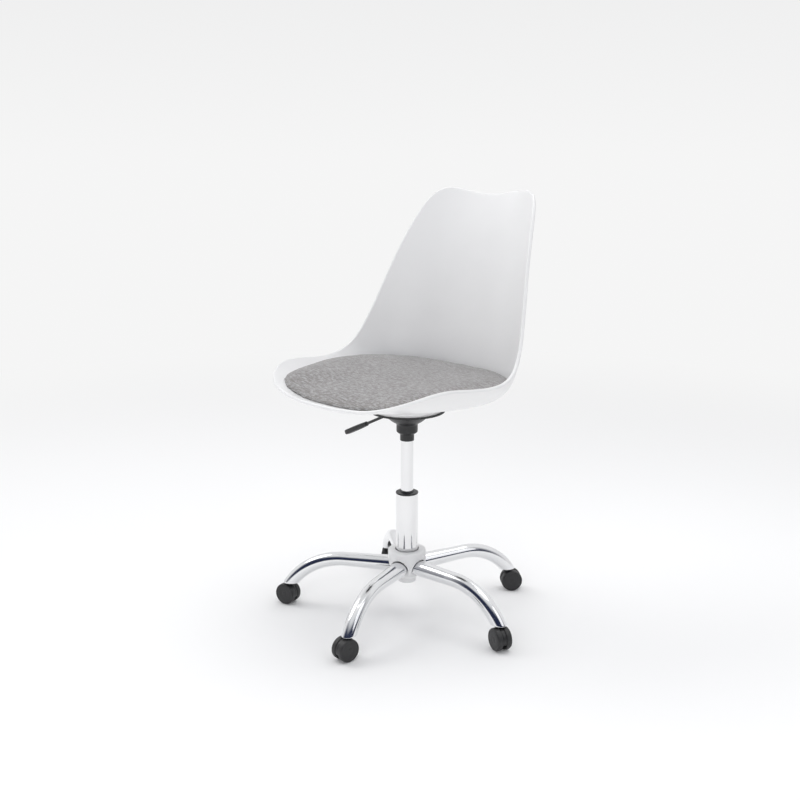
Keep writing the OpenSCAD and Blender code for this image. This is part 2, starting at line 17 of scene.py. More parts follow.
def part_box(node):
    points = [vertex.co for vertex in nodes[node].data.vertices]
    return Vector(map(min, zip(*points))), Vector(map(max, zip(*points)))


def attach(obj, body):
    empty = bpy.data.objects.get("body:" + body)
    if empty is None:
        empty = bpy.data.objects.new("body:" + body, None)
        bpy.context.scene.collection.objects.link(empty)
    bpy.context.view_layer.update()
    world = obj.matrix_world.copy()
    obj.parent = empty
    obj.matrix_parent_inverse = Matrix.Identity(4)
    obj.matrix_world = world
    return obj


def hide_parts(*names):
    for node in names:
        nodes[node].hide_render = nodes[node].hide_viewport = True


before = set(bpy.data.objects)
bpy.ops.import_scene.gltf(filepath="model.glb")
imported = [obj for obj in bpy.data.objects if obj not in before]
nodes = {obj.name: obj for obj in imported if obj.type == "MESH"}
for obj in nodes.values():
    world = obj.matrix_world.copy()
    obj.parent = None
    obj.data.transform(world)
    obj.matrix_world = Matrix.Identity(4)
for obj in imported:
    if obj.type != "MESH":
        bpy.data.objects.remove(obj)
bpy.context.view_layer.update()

MM = 0.001

# %% [markdown]
# ## Camera, floor and light
# The camera stands a little above seat height and looks down at the chair, with a normal lens.
# It is aimed by its heading and its tilt, which is how a tripod head works. The floor is one
# large pale disc: a small floor would show its edge in the chrome.

# %% Camera
camera_data = bpy.data.cameras.new("camera")
camera_data.lens = 50
camera_data.sensor_width = 36
camera = bpy.data.objects.new("camera", camera_data)
camera_heading = math.radians(134.58 - 90)
camera_tilt = math.radians(90 - 13.49)
camera.location = (1.659, -1.706, 1.069)
camera.rotation_euler = (camera_tilt, 0, camera_heading)
bpy.context.scene.collection.objects.link(camera)
bpy.context.scene.camera = camera
bpy.context.scene.view_settings.view_transform = "Standard"
print("camera stands", round(camera.location.xy.length, 2), "m from the column")


# %% [markdown]
# ### Small helpers for node trees
# Every finish below is a node tree, and typing out each node and link hides the idea. `add`
# makes one node and fills its sockets: a value that is a socket is linked, any other value
# is set. Outputs are then passed straight on to the next call.

# %% Node helpers
def add(tree, kind, inputs=None, **settings):
    node = tree.nodes.new(kind)
    for key, value in settings.items():
        setattr(node, key, value)
    for key, value in (inputs or {}).items():
        socket = node.inputs[key]
        if isinstance(value, bpy.types.NodeSocket):
            tree.links.new(value, socket)
        else:
            socket.default_value = value
    return node


def ramp(tree, factor, stops):
    node = add(tree, "ShaderNodeValToRGB", {"Fac": factor})
    elements = node.color_ramp.elements
    elements[0].position, elements[1].position = stops[0][0], stops[-1][0]
    for position, _ in stops[1:-1]:
        elements.new(position)
    for element, (_, colour) in zip(elements, stops):
        element.color = (*colour, 1)
    return node.outputs["Color"]


# %% [markdown]
# ### Surroundings
# Polished metal has no look of its own: it shows the room. A studio is bright, but the side where
# its equipment stands is dark up to about head height. That dark side draws the blue-black bands
# on round chromed tubes. The camera itself sees only a plain pale background, so the world asks
# which kind of ray is looking.

# %% World
world = bpy.data.worlds.new("studio")
bpy.context.scene.world = world
world.use_nodes = True
sky = world.node_tree
sky.nodes.clear()
direction = add(sky, "ShaderNodeTexCoord").outputs["Generated"]
height = add(sky, "ShaderNodeSeparateXYZ", {"Vector": direction}).outputs["Z"]
level = add(sky, "ShaderNodeMapRange", {"Value": height, "From Min": -1, "From Max": 1}).outputs["Result"]
bright_side = ramp(sky, level, [
    (0.0, (0.80, 0.80, 0.81)),
    (0.50, (0.86, 0.86, 0.87)),
    (0.75, (0.98, 0.98, 0.99)),
    (1.0, (0.95, 0.95, 0.95)),
])
dark_side = ramp(sky, level, [
    (0.0, (0.80, 0.80, 0.81)),
    (0.51, (0.80, 0.80, 0.81)),
    (0.55, (0.018, 0.024, 0.058)),
    (0.82, (0.026, 0.034, 0.072)),
    (0.92, (0.85, 0.86, 0.88)),
    (1.0, (0.95, 0.95, 0.95)),
])
toward = add(sky, "ShaderNodeVectorMath", {0: direction, 1: (0.70, -0.71, 0)}, operation="DOT_PRODUCT").outputs["Value"]
side = add(sky, "ShaderNodeMapRange", {"Value": toward, "From Min": -0.25, "From Max": 0.35},
           interpolation_type="SMOOTHSTEP")
room = add(sky, "ShaderNodeMix", {0: side.outputs["Result"], 6: bright_side, 7: dark_side}, data_type="RGBA").outputs[2]
backdrop = ramp(sky, level, [(0.49, (0.915, 0.915, 0.915)), (0.56, (0.865, 0.865, 0.867))])
seen = add(sky, "ShaderNodeLightPath").outputs["Is Camera Ray"]
background = add(sky, "ShaderNodeBackground", {"Color": backdrop, "Strength": 1.0})
surround = add(sky, "ShaderNodeBackground", {"Color": room, "Strength": 0.92})
choice = add(sky, "ShaderNodeMixShader", {
    "Fac": seen, 1: surround.outputs["Background"], 2: background.outputs["Background"]})
add(sky, "ShaderNodeOutputWorld", {"Surface": choice.outputs["Shader"]})
print("world has", len(sky.nodes), "nodes")


# %% [markdown]
# ### Lamps
# One large soft lamp stands high on the camera's left and gives the chair its faint shadow. Two
# weaker ones fill from the right and from above. The front lamp makes up for the dark side of
# the room. It is hidden from reflections, so that it doesn't whiten the dark bands again.

# %% Lamps
def soft_lamp(name, place, target, size, watts):
    data = bpy.data.lights.new(name, "AREA")
    data.shape = "DISK"
    data.size = size
    data.energy = watts
    lamp = bpy.data.objects.new(name, data)
    lamp.location = place
    lamp.rotation_euler = (Vector(target) - Vector(place)).to_track_quat("-Z", "Y").to_euler()
    bpy.context.scene.collection.objects.link(lamp)
    return lamp


seat_middle = (0, 0, 0.55)
lamps = [
    soft_lamp("key_lamp", (-2.4, -1.2, 3.2), seat_middle, 2.2, 30),
    soft_lamp("fill_lamp", (3.0, 0.6, 2.4), seat_middle, 2.5, 16),
    soft_lamp("top_lamp", (0.2, 0.6, 3.4), seat_middle, 2.6, 26),
    soft_lamp("front_lamp", (1.6, -3.4, 1.3), seat_middle, 3.0, 56),
]
lamps[-1].visible_glossy = False
print(len(lamps), "lamps,", sum(lamp.data.energy for lamp in lamps), "W")

# %% Floor
floor_mesh = bpy.data.meshes.new("floor")
floor_rim = [(30 * math.cos(a), 30 * math.sin(a), 0) for a in np.linspace(0, 2 * math.pi, 97)[:-1]]
floor_mesh.from_pydata(floor_rim, [], [list(range(len(floor_rim)))])
floor = bpy.data.objects.new("floor", floor_mesh)
bpy.context.scene.collection.objects.link(floor)
floor_paint = bpy.data.materials.new("floor_paint")
floor_paint.use_nodes = True
paint = floor_paint.node_tree
floor_shader = paint.nodes["Principled BSDF"]
floor_shader.inputs["Base Color"].default_value = (0.90, 0.90, 0.90, 1)
floor_shader.inputs["Roughness"].default_value = 0.8
floor_shader.inputs["Specular IOR Level"].default_value = 0.0
floor_shader.inputs["Emission Color"].default_value = (1, 1, 1, 1)
floor_shader.inputs["Emission Strength"].default_value = 0.03
ground = add(paint, "ShaderNodeTexCoord").outputs["Object"]
away = add(paint, "ShaderNodeVectorMath", {0: ground}, operation="LENGTH").outputs["Value"]
fade = add(paint, "ShaderNodeMapRange", {"Value": away, "From Min": 0.8, "From Max": 3.2},
           interpolation_type="SMOOTHSTEP")
glow = add(paint, "ShaderNodeEmission", {"Color": (0.915, 0.915, 0.915, 1), "Strength": 1.0})
blended = add(paint, "ShaderNodeMixShader", {
    "Fac": fade.outputs["Result"], 1: floor_shader.outputs["BSDF"], 2: glow.outputs["Emission"]})
paint.links.new(blended.outputs["Shader"], paint.nodes["Material Output"].inputs["Surface"])
floor_mesh.materials.append(floor_paint)
print("floor radius 30 m")

# %% [markdown]
# ## Shared surface effects
# Real surfaces share a few small faults: a moulded skin is faintly uneven, polished metal has
# hair-fine wiping marks, and dust settles on what faces up. Each of these is a node group, built
# once and placed in several finishes with its own values. A group gives only masks and heights:
# each finish decides what to do with them.

# %% Group helpers
def effect_group(name, inputs, outputs):
    """An empty shader group. inputs and outputs map a socket's name to its default or kind."""
    group = bpy.data.node_groups.new(name, "ShaderNodeTree")
    for label, default in inputs.items():
        socket = group.interface.new_socket(name=label, in_out="INPUT", socket_type="NodeSocketFloat")
        socket.default_value = default
    for label in outputs:
        group.interface.new_socket(name=label, in_out="OUTPUT", socket_type="NodeSocketFloat")
    source = group.nodes.new("NodeGroupInput").outputs
    sink = group.nodes.new("NodeGroupOutput").inputs
    return group, source, sink


def math_node(tree, operation, a, b=0.0, c=None):
    inputs = {0: a, 1: b} if c is None else {0: a, 1: b, 2: c}
    return add(tree, "ShaderNodeMath", inputs, operation=operation).outputs[0]


def object_point(tree):
    return add(tree, "ShaderNodeTexCoord").outputs["Object"]


# %% Moulded skin: fine grain over a slow waviness
skin, given, result = effect_group(
    "moulded_skin", {"Grain Size": 0.0006, "Wave Size": 0.05, "Wave Share": 0.4}, ["Height", "Mask"])
point = object_point(skin)
grain = add(skin, "ShaderNodeTexNoise", {
    "Vector": point, "Scale": math_node(skin, "DIVIDE", 1.0, given["Grain Size"]), "Detail": 3.0, "Roughness": 0.55})
wave = add(skin, "ShaderNodeTexNoise", {
    "Vector": point, "Scale": math_node(skin, "DIVIDE", 1.0, given["Wave Size"]), "Detail": 1.0})
mixed = add(skin, "ShaderNodeMix", {
    0: given["Wave Share"], 2: grain.outputs[0], 3: wave.outputs[0]}, data_type="FLOAT")
skin.links.new(mixed.outputs[0], result["Height"])
skin.links.new(wave.outputs[0], result["Mask"])
print(skin.name, "has", len(skin.nodes), "nodes")

# %% Wiping marks: long thin streaks in two directions
marks, given, result = effect_group("wiping_marks", {"Spacing": 0.002, "Amount": 0.5}, ["Mask"])
point = object_point(marks)
streaks = []
for tilt in (0.35, -0.9):
    turned = add(marks, "ShaderNodeMapping", {
        "Vector": point, "Rotation": (tilt, tilt * 1.7, 0.6), "Scale": (1, 1, 0.03)})
    noise = add(marks, "ShaderNodeTexNoise", {
        "Vector": turned.outputs["Vector"], "Scale": math_node(marks, "DIVIDE", 1.0, given["Spacing"]), "Detail": 4.0})
    sharp = add(marks, "ShaderNodeMapRange", {"Value": noise.outputs[0], "From Min": 0.56, "From Max": 0.74})
    streaks.append(sharp.outputs["Result"])
both = math_node(marks, "MAXIMUM", *streaks)
marks.links.new(math_node(marks, "MULTIPLY", both, given["Amount"]), result["Mask"])
print(marks.name, "has", len(marks.nodes), "nodes")

# %% Settled dust: on faces that look up, in soft patches
dust, given, result = effect_group("settled_dust", {"Amount": 0.3, "Patch Size": 0.02}, ["Mask"])
facing = add(dust, "ShaderNodeSeparateXYZ", {"Vector": add(dust, "ShaderNodeNewGeometry").outputs["Normal"]})
upward = add(dust, "ShaderNodeMapRange", {"Value": facing.outputs["Z"], "From Min": 0.2, "From Max": 1.0})
patches = add(dust, "ShaderNodeTexNoise", {
    "Vector": object_point(dust), "Scale": math_node(dust, "DIVIDE", 1.0, given["Patch Size"]), "Detail": 5.0})
soft = add(dust, "ShaderNodeMapRange", {"Value": patches.outputs[0], "From Min": 0.35, "From Max": 0.75})
cover = math_node(dust, "MULTIPLY", upward.outputs["Result"], soft.outputs["Result"])
dust.links.new(math_node(dust, "MULTIPLY", cover, given["Amount"]), result["Mask"])
print(dust.name, "has", len(dust.nodes), "nodes")


# %% [markdown]
# ## Finishes
# A finish is a Principled shader whose constants are set on its own sockets, with the shared
# effects feeding colour, roughness and bump. Every finish also carries the name of the
# material slot that it belongs to in the engineering record.

# %% Finish helpers
def place(tree, group, inputs):
    node = tree.nodes.new("ShaderNodeGroup")
    node.node_tree = group
    for key, value in inputs.items():
        node.inputs[key].default_value = value
    return node.outputs


def finish(name, slot, constants):
    material = bpy.data.materials.new(name)
    material.use_nodes = True
    material["slot"] = slot
    tree = material.node_tree
    shader = tree.nodes["Principled BSDF"]
    for key, value in constants.items():
        shader.inputs[key].default_value = value
    return material, tree, shader


def blend_colour(tree, mask, low, high):
    return add(tree, "ShaderNodeMix", {0: mask, 6: (*low, 1), 7: (*high, 1)}, data_type="RGBA").outputs[2]


def spread(tree, mask, low, high):
    return add(tree, "ShaderNodeMapRange", {"Value": mask, "To Min": low, "To Max": high}).outputs["Result"]


def bump(tree, shader, height, depth, strength=1.0):
    node = add(tree, "ShaderNodeBump", {"Height": height, "Distance": depth, "Strength": strength})
    tree.links.new(node.outputs["Normal"], shader.inputs["Normal"])


# %% [markdown]
# ### Plastics
# The shell is white polypropylene with a satin skin: a mould leaves a faint grain and long soft
# waves that only show in reflections. The hub cover is the same kind of plastic in pale grey.
# The mechanism, the casters and the grip are black, with a coarser spark-eroded grain.

# %% Plastic finishes
def moulded_plastic(name, slot, low, high, gloss, grain_size, grain_depth, dust_amount, dust_colour, wear=0.4):
    material, tree, shader = finish(name, slot, {"IOR": 1.49})
    skin_out = place(tree, skin, {"Grain Size": grain_size, "Wave Size": 0.06, "Wave Share": 0.3})
    marks_out = place(tree, marks, {"Spacing": 0.004, "Amount": wear})
    dust_out = place(tree, dust, {"Amount": dust_amount, "Patch Size": 0.03})
    body_colour = blend_colour(tree, skin_out["Mask"], low, high)
    dusty = add(tree, "ShaderNodeMix", {0: dust_out["Mask"], 6: body_colour, 7: (*dust_colour, 1)}, data_type="RGBA")
    tree.links.new(dusty.outputs[2], shader.inputs["Base Color"])
    worn = math_node(tree, "MULTIPLY_ADD", marks_out["Mask"], 0.12, spread(tree, skin_out["Mask"], *gloss))
    dull = math_node(tree, "MULTIPLY_ADD", dust_out["Mask"], 0.3, worn)
    tree.links.new(dull, shader.inputs["Roughness"])
    bump(tree, shader, skin_out["Height"], grain_depth)
    return material


shell_white = moulded_plastic("shell_white", "shell_plastic", (0.80, 0.80, 0.80), (0.825, 0.825, 0.825),
                              (0.27, 0.30), 0.0012, 0.00001, 0.0, (0.7, 0.7, 0.7), wear=0.10)
hub_grey = moulded_plastic("hub_grey", "hub_plastic", (0.78, 0.78, 0.78), (0.82, 0.82, 0.82),
                           (0.30, 0.36), 0.0009, 0.00002, 0.06, (0.6, 0.6, 0.59), wear=0.2)
black_skin = moulded_plastic("black_skin", "black_plastic", (0.013, 0.013, 0.014), (0.021, 0.021, 0.022),
                             (0.34, 0.44), 0.0005, 0.00005, 0.06, (0.12, 0.118, 0.115))
wheel_black = moulded_plastic("wheel_black", "wheel_plastic", (0.018, 0.018, 0.019), (0.028, 0.028, 0.029),
                              (0.42, 0.55), 0.0006, 0.00006, 0.08, (0.12, 0.118, 0.115))
print("plastics:", [m.name for m in (shell_white, hub_grey, black_skin, wheel_black)])


# %% [markdown]
# ### Metals
# Chrome plate is nearly a mirror. What makes it look real is slight: wiping marks, a very faint
# unevenness of the tube under the plating, and a cool tint. Turned steel shows fine rings round
# its axis, so its streaks are squeezed along the height. The coated steel is dull black.

# %% Metal finishes
def plated(name, slot, low, high, gloss, wave_depth):
    material, tree, shader = finish(name, slot, {"Metallic": 1.0})
    skin_out = place(tree, skin, {"Grain Size": 0.008, "Wave Size": 0.05, "Wave Share": 0.7})
    marks_out = place(tree, marks, {"Spacing": 0.0016, "Amount": 0.35})
    dust_out = place(tree, dust, {"Amount": 0.05, "Patch Size": 0.012})
    tree.links.new(blend_colour(tree, skin_out["Mask"], low, high), shader.inputs["Base Color"])
    wiped = math_node(tree, "MULTIPLY_ADD", marks_out["Mask"], 0.10, spread(tree, skin_out["Mask"], *gloss))
    tree.links.new(math_node(tree, "ADD", wiped, dust_out["Mask"]), shader.inputs["Roughness"])
    bump(tree, shader, skin_out["Height"], wave_depth)
    return material


def turned(name, slot, low, high, gloss):
    material, tree, shader = finish(name, slot, {"Metallic": 1.0})
    squeezed = add(tree, "ShaderNodeMapping", {"Vector": object_point(tree), "Scale": (0.02, 0.02, 1.0)})
    rings = add(tree, "ShaderNodeTexNoise", {"Vector": squeezed.outputs["Vector"], "Scale": 1800.0, "Detail": 4.0})
    marks_out = place(tree, marks, {"Spacing": 0.001, "Amount": 0.6})
    tree.links.new(blend_colour(tree, rings.outputs[0], low, high), shader.inputs["Base Color"])
    rough = math_node(tree, "MULTIPLY_ADD", marks_out["Mask"], 0.15, spread(tree, rings.outputs[0], *gloss))
    tree.links.new(rough, shader.inputs["Roughness"])
    bump(tree, shader, rings.outputs[0], 0.00002)
    return material


leg_chrome = plated("leg_chrome", "chrome", (0.80, 0.805, 0.815), (0.85, 0.855, 0.865), (0.11, 0.15), 0.00002)
column_chrome = plated("column_chrome", "column_chrome", (0.80, 0.80, 0.805), (0.84, 0.84, 0.845),
                       (0.08, 0.12), 0.00002)
plain_steel = turned("plain_steel", "steel", (0.42, 0.42, 0.43), (0.60, 0.60, 0.61), (0.22, 0.38))
plain_brass = turned("plain_brass", "brass", (0.60, 0.45, 0.20), (0.78, 0.62, 0.30), (0.20, 0.36))
coated_black = moulded_plastic("coated_black", "black_metal", (0.012, 0.012, 0.013), (0.020, 0.020, 0.021),
                               (0.38, 0.50), 0.0004, 0.00006, 0.12, (0.14, 0.14, 0.13))
print("metals:", [m.name for m in (leg_chrome, column_chrome, plain_steel, plain_brass, coated_black)])

# %% [markdown]
# ### Felt
# The pad's cover is a heathered felt: cool light fibres and warm brown ones, carded together, so
# the colour breaks into short streaks and flecks of two to six millimetres. Three noises do it:
# stretched streaks along the roll of cloth, round flecks, and single fibres for the bump. Sheen
# gives the pale fuzz that felt shows at a grazing view.

# %% Felt finish
felt_grey, tree, shader = finish("felt_grey", "pad_fabric", {
    "Roughness": 0.95, "Sheen Weight": 0.35, "Sheen Roughness": 0.45, "Sheen Tint": (0.9, 0.9, 0.92, 1),
    "Specular IOR Level": 0.2})
point = object_point(tree)
rolled = add(tree, "ShaderNodeMapping", {"Vector": point, "Rotation": (0, 0, 0.5), "Scale": (0.3, 1.0, 1.0)})
streaks = add(tree, "ShaderNodeTexNoise", {
    "Vector": rolled.outputs["Vector"], "Scale": 310.0, "Detail": 5.0, "Roughness": 0.6})
flecks = add(tree, "ShaderNodeTexNoise", {"Vector": point, "Scale": 420.0, "Detail": 3.0, "Roughness": 0.6})
blotches = add(tree, "ShaderNodeTexNoise", {"Vector": rolled.outputs["Vector"], "Scale": 26.0, "Detail": 3.0})
warm = add(tree, "ShaderNodeMapRange", {"Value": flecks.outputs[0], "From Min": 0.48, "From Max": 0.68})
cool = add(tree, "ShaderNodeMapRange", {"Value": streaks.outputs[0], "From Min": 0.42, "From Max": 0.66})
base = blend_colour(tree, cool.outputs["Result"], (0.235, 0.226, 0.220), (0.450, 0.452, 0.458))
fleck_share = math_node(tree, "MULTIPLY", warm.outputs["Result"], 0.65)
flecked = add(tree, "ShaderNodeMix", {0: fleck_share, 6: base, 7: (0.235, 0.200, 0.178, 1)}, data_type="RGBA")
shade = spread(tree, blotches.outputs[0], 0.88, 1.10)
shaded = add(tree, "ShaderNodeVectorMath", {0: flecked.outputs[2], 3: shade}, operation="SCALE")
tree.links.new(shaded.outputs["Vector"], shader.inputs["Base Color"])
fibre_turn = add(tree, "ShaderNodeMapping", {"Vector": point, "Rotation": (0.2, 0.1, -0.7), "Scale": (0.2, 1.0, 1.0)})
fibres = add(tree, "ShaderNodeTexNoise", {"Vector": fibre_turn.outputs["Vector"], "Scale": 1100.0, "Detail": 2.0})
nap = math_node(tree, "ADD", fibres.outputs[0], math_node(tree, "MULTIPLY", flecks.outputs[0], 1.4))
bump(tree, shader, nap, 0.0006, 0.8)
print(felt_grey.name, "has", len(tree.nodes), "nodes")

# %% [markdown]
# ## Making and placing a piece
# Each visible piece is a closed mesh in the chair's own coordinates, so its object stays at the
# origin. `fit` turns a list of points and faces into such a piece: it points the faces outwards,
# keeps edges sharper than a set angle crisp, hangs the piece on the body that it rides on,
# and hides the engineering node that it stands for.

# %% Piece helper
pieces_made = []


def settle(piece, body, stands_for, crease=38):
    """Shades a finished mesh object, and hands it to the frame."""
    mesh = piece.data
    mesh.shade_smooth()
    mesh.set_sharp_from_angle(angle=math.radians(crease))
    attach(piece, body)
    if stands_for:
        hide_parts(*stands_for)
    pieces_made.append(piece.name)
    return piece


def fit(name, points, faces, material, body, stands_for=(), crease=38):
    mesh = bpy.data.meshes.new(name)
    mesh.from_pydata([tuple(p) for p in points], [], faces)
    shape = bmesh.new()
    shape.from_mesh(mesh)
    bmesh.ops.remove_doubles(shape, verts=shape.verts, dist=1e-6)
    bmesh.ops.recalc_face_normals(shape, faces=shape.faces)
    shape.to_mesh(mesh)
    shape.free()
    mesh.materials.append(material)
    piece = bpy.data.objects.new(name, mesh)
    bpy.context.scene.collection.objects.link(piece)
    return settle(piece, body, stands_for, crease)


# %% [markdown]
# ## Turned pieces
# Tubes, rings, wheels and the seat plate are all lathe work: a closed outline in radius and
# height, spun once. No real edge is perfectly sharp, so every corner of an outline is first cut
# by a small curve. That curve is what catches the light.

# %% Lathe helpers
def eased(corners, cut, steps=5):
    """A closed outline of (radius, height) with its corners cut. cut is one size or one per corner."""
    cuts = cut if isinstance(cut, (list, tuple)) else [cut] * len(corners)
    outline = []
    for i, corner in enumerate(corners):
        here = np.array(corner, float)
        before = np.array(corners[i - 1], float) - here
        after = np.array(corners[(i + 1) % len(corners)], float) - here
        size = min(cuts[i], 0.45 * np.linalg.norm(before), 0.45 * np.linalg.norm(after))
        if corner[0] < 1e-9 or size <= 0:
            outline.append(tuple(here))
            continue
        start = here + before / np.linalg.norm(before) * size
        end = here + after / np.linalg.norm(after) * size
        for t in np.linspace(0, 1, steps):
            outline.append(tuple((1 - t) ** 2 * start + 2 * t * (1 - t) * here + t * t * end))
    return outline


def spun(outline, turns=96):
    """Points and faces of a closed outline spun round the Z axis."""
    points, rings, faces = [], [], []
    for radius, level in outline:
        count = 1 if radius < 1e-9 else turns
        rings.append((len(points), count))
        for k in range(count):
            angle = 2 * math.pi * k / turns
            points.append((radius * math.cos(angle), radius * math.sin(angle), level))
    for (a, na), (b, nb) in zip(rings, rings[1:] + rings[:1]):
        if na == 1 and nb == 1:
            continue
        for k in range(turns):
            n = (k + 1) % turns
            quad = [a + k % na, a + n % na, b + n % nb, b + k % nb]
            faces.append(list(dict.fromkeys(quad)))
    return points, faces


def radius_of(node):
    low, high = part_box(node)
    return (high.y - low.y) / 2


print("a lathe ring has", len(spun([(1, 0), (2, 0), (2, 1), (1, 1)])[1]), "faces")

# %% Column: standpipe, bush, gas cylinder
pipe_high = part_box("standpipe")[1]
pipe_r = radius_of("standpipe")
pipe_wall = 2 * MM
hub_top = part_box("hub_cover")[1].z
pipe_foot = hub_top - 30 * MM
pipe_outline = eased([
    (pipe_r - pipe_wall, pipe_foot), (pipe_r, pipe_foot),
    (pipe_r, pipe_high.z), (pipe_r - pipe_wall, pipe_high.z),
], 0.6 * MM)
fit("standpipe_tube", *spun(pipe_outline, 128), column_chrome, "base", ["standpipe"])

bush_low, bush_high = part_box("column_bush")
cylinder_r = radius_of("gas_cylinder")
bush_in = cylinder_r + 0.05 * MM
lip = bush_high.z - pipe_high.z
bush_outline = eased([
    (bush_in, bush_low.z), (pipe_r - pipe_wall, bush_low.z), (pipe_r - pipe_wall, pipe_high.z), (pipe_r, pipe_high.z),
    (pipe_r + 0.3 * MM, pipe_high.z + 0.4 * MM), (pipe_r, bush_high.z), (bush_in + 3 * MM, bush_high.z),
    (bush_in, bush_high.z - 0.6 * lip),
], 0.5 * MM)
fit("column_bush_ring", *spun(bush_outline), black_skin, "base", ["column_bush"])

cyl_low, cyl_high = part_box("gas_cylinder")
housing_low, housing_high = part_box("mechanism_housing")
taper_start = housing_low.z + 6 * MM
cylinder_outline = eased([
    (0, cyl_low.z + 12 * MM), (cylinder_r - 1.5 * MM, cyl_low.z + 12 * MM), (cylinder_r - 1.5 * MM, cyl_low.z),
    (cylinder_r, cyl_low.z), (cylinder_r, taper_start), (cylinder_r - 1 * MM, cyl_high.z), (0, cyl_high.z),
], 0.5 * MM)
fit("gas_cylinder_tube", *spun(cylinder_outline, 128), column_chrome, "seat", ["gas_cylinder", "cylinder_gland"])
print("column:", pieces_made)

# %% [markdown]
# ## Shapes cut from turned ones
# The hub cover drops over the legs, so its wall has five arched openings, and the mechanism's
# housing has a slot for the lever. Both are turned first, then cut with a Boolean modifier, and
# a narrow Bevel softens the edges that the cut leaves. The result is taken from the evaluated
# object, so no live modifier is left.

# %% Cutting helper
def loose(name, points, faces):
    """A helper object that isn't a piece: a cutter or a body that is still being shaped."""
    mesh = bpy.data.meshes.new(name)
    mesh.from_pydata([tuple(p) for p in points], [], faces)
    shape = bmesh.new()
    shape.from_mesh(mesh)
    bmesh.ops.recalc_face_normals(shape, faces=shape.faces)
    shape.to_mesh(mesh)
    shape.free()
    thing = bpy.data.objects.new(name, mesh)
    bpy.context.scene.collection.objects.link(thing)
    return thing


def applied(thing, name):
    """A new plain mesh object made from thing with its modifiers applied. thing is removed."""
    shown = thing.evaluated_get(bpy.context.evaluated_depsgraph_get())
    mesh = bpy.data.meshes.new_from_object(shown)
    mesh.name = name
    piece = bpy.data.objects.new(name, mesh)
    bpy.context.scene.collection.objects.link(piece)
    bpy.data.objects.remove(thing)
    return piece


def cut_away(thing, cutters, name, edge):
    for cutter in cutters:
        tool = thing.modifiers.new("cut", "BOOLEAN")
        tool.object = cutter
        tool.solver = "EXACT"
    soften = thing.modifiers.new("soften", "BEVEL")
    soften.width = edge
    soften.segments = 3
    soften.limit_method = "ANGLE"
    soften.angle_limit = math.radians(45)
    piece = applied(thing, name)
    for cutter in cutters:
        bpy.data.objects.remove(cutter)
    return piece


def arch(angle, height, inner, outer_end, radius, foot, steps=24):
    """A tunnel with a round roof that runs out along a leg and is open down to the foot."""
    bow = [(radius * math.cos(a), height + radius * math.sin(a)) for a in np.linspace(0, math.pi, steps)]
    section = [(radius, foot)] + bow + [(-radius, foot)]
    outward, sideways = Vector((math.cos(angle), math.sin(angle), 0)), Vector((-math.sin(angle), math.cos(angle), 0))
    points = [outward * reach + sideways * w + Vector((0, 0, z)) for reach in (inner, outer_end) for w, z in section]
    n = len(section)
    faces = [[k, (k + 1) % n, n + (k + 1) % n, n + k] for k in range(n)]
    return points, faces + [list(range(n)), list(range(n, 2 * n))]


# %% Hub cover and hub tube
leg_angles = [2 * math.pi * k / 5 for k in range(5)]
cover_low, cover_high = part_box("hub_cover")
cover_r = radius_of("hub_cover")
core_low, core_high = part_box("hub_core")
barrel_r = radius_of("hub_core")
leg_root_r = (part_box("leg_1")[1].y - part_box("leg_1")[0].y) / 2
root_height = core_high.z - leg_root_r - 1 * MM
waist = cover_low.z + 17 * MM
skirt_r = barrel_r + 3 * MM
wall = 3 * MM
cover_outline = eased([
    (skirt_r - wall, cover_low.z), (skirt_r, cover_low.z), (cover_r, waist), (cover_r, cover_high.z),
    (pipe_r + 1.8 * MM, cover_high.z), (pipe_r + 1.8 * MM, cover_high.z - wall), (cover_r - wall, cover_high.z - wall),
    (cover_r - wall, waist),
], [0.5 * MM, 0.8 * MM, 8 * MM, 6 * MM, 1 * MM, 0.5 * MM, 3 * MM, 4 * MM], steps=9)
cover = loose("cover_blank", *spun(cover_outline, 160))
arches = [loose("arch", *arch(a, root_height, barrel_r - 6 * MM, 80 * MM, leg_root_r + 1.8 * MM, 50 * MM))
          for a in leg_angles]
hub_cover = cut_away(cover, arches, "hub_cover_shell", 0.6 * MM)
hub_cover.data.materials.clear()
hub_cover.data.materials.append(hub_grey)
settle(hub_cover, "base", ["hub_cover"])

foot_r = 20.5 * MM
foot_in = foot_r - 2.5 * MM
barrel_low = root_height - leg_root_r - 2 * MM
core_outline = eased([
    (foot_in, core_low.z), (foot_r, core_low.z), (foot_r, barrel_low - 8 * MM), (barrel_r, barrel_low),
    (barrel_r, core_high.z), (pipe_r, core_high.z), (pipe_r, core_high.z - 10 * MM), (foot_in, core_high.z - 12 * MM),
], [0.4 * MM, 1.2 * MM, 3 * MM, 2 * MM, 1 * MM, 0, 0, 0], steps=7)
fit("hub_core_casting", *spun(core_outline, 128), hub_grey, "base", ["hub_core"])
print("hub cover has", len(hub_cover.data.polygons), "faces")

# %% [markdown]
# ## The shell
# The plastic shell is one sheet. Its surface is measured by p, the way along the centre line from
# the front edge over the dish and up the back, and q, the way to the side. Cubic splines give the
# centre line, how high the sides stand, and the trimmed edge. The skin is a closed grid: from
# the centre line out to the edge, round the rolled rim, and back underneath.

# %% Shell surface
dish_z = 490
spine = [(289, 541), (158, 510), (42, 493), (-100, 481), (-188, 497), (-200, 629), (-215, 801), (-270, 949)]
wall_rise = [(70,), (98,), (137,), (152,), (139,), (118,)]
shell_edge = [(19, 0), (46, 130), (63, 181), (132, 234), (264, 233), (419, 253),
              (550, 238), (690, 203), (812, 168), (889, 135), (856, 0)]
pad_edge = [(40, 0), (52, 90), (68, 158), (106, 202), (237, 218), (365, 243), (470, 231), (536, 149), (539, 0)]


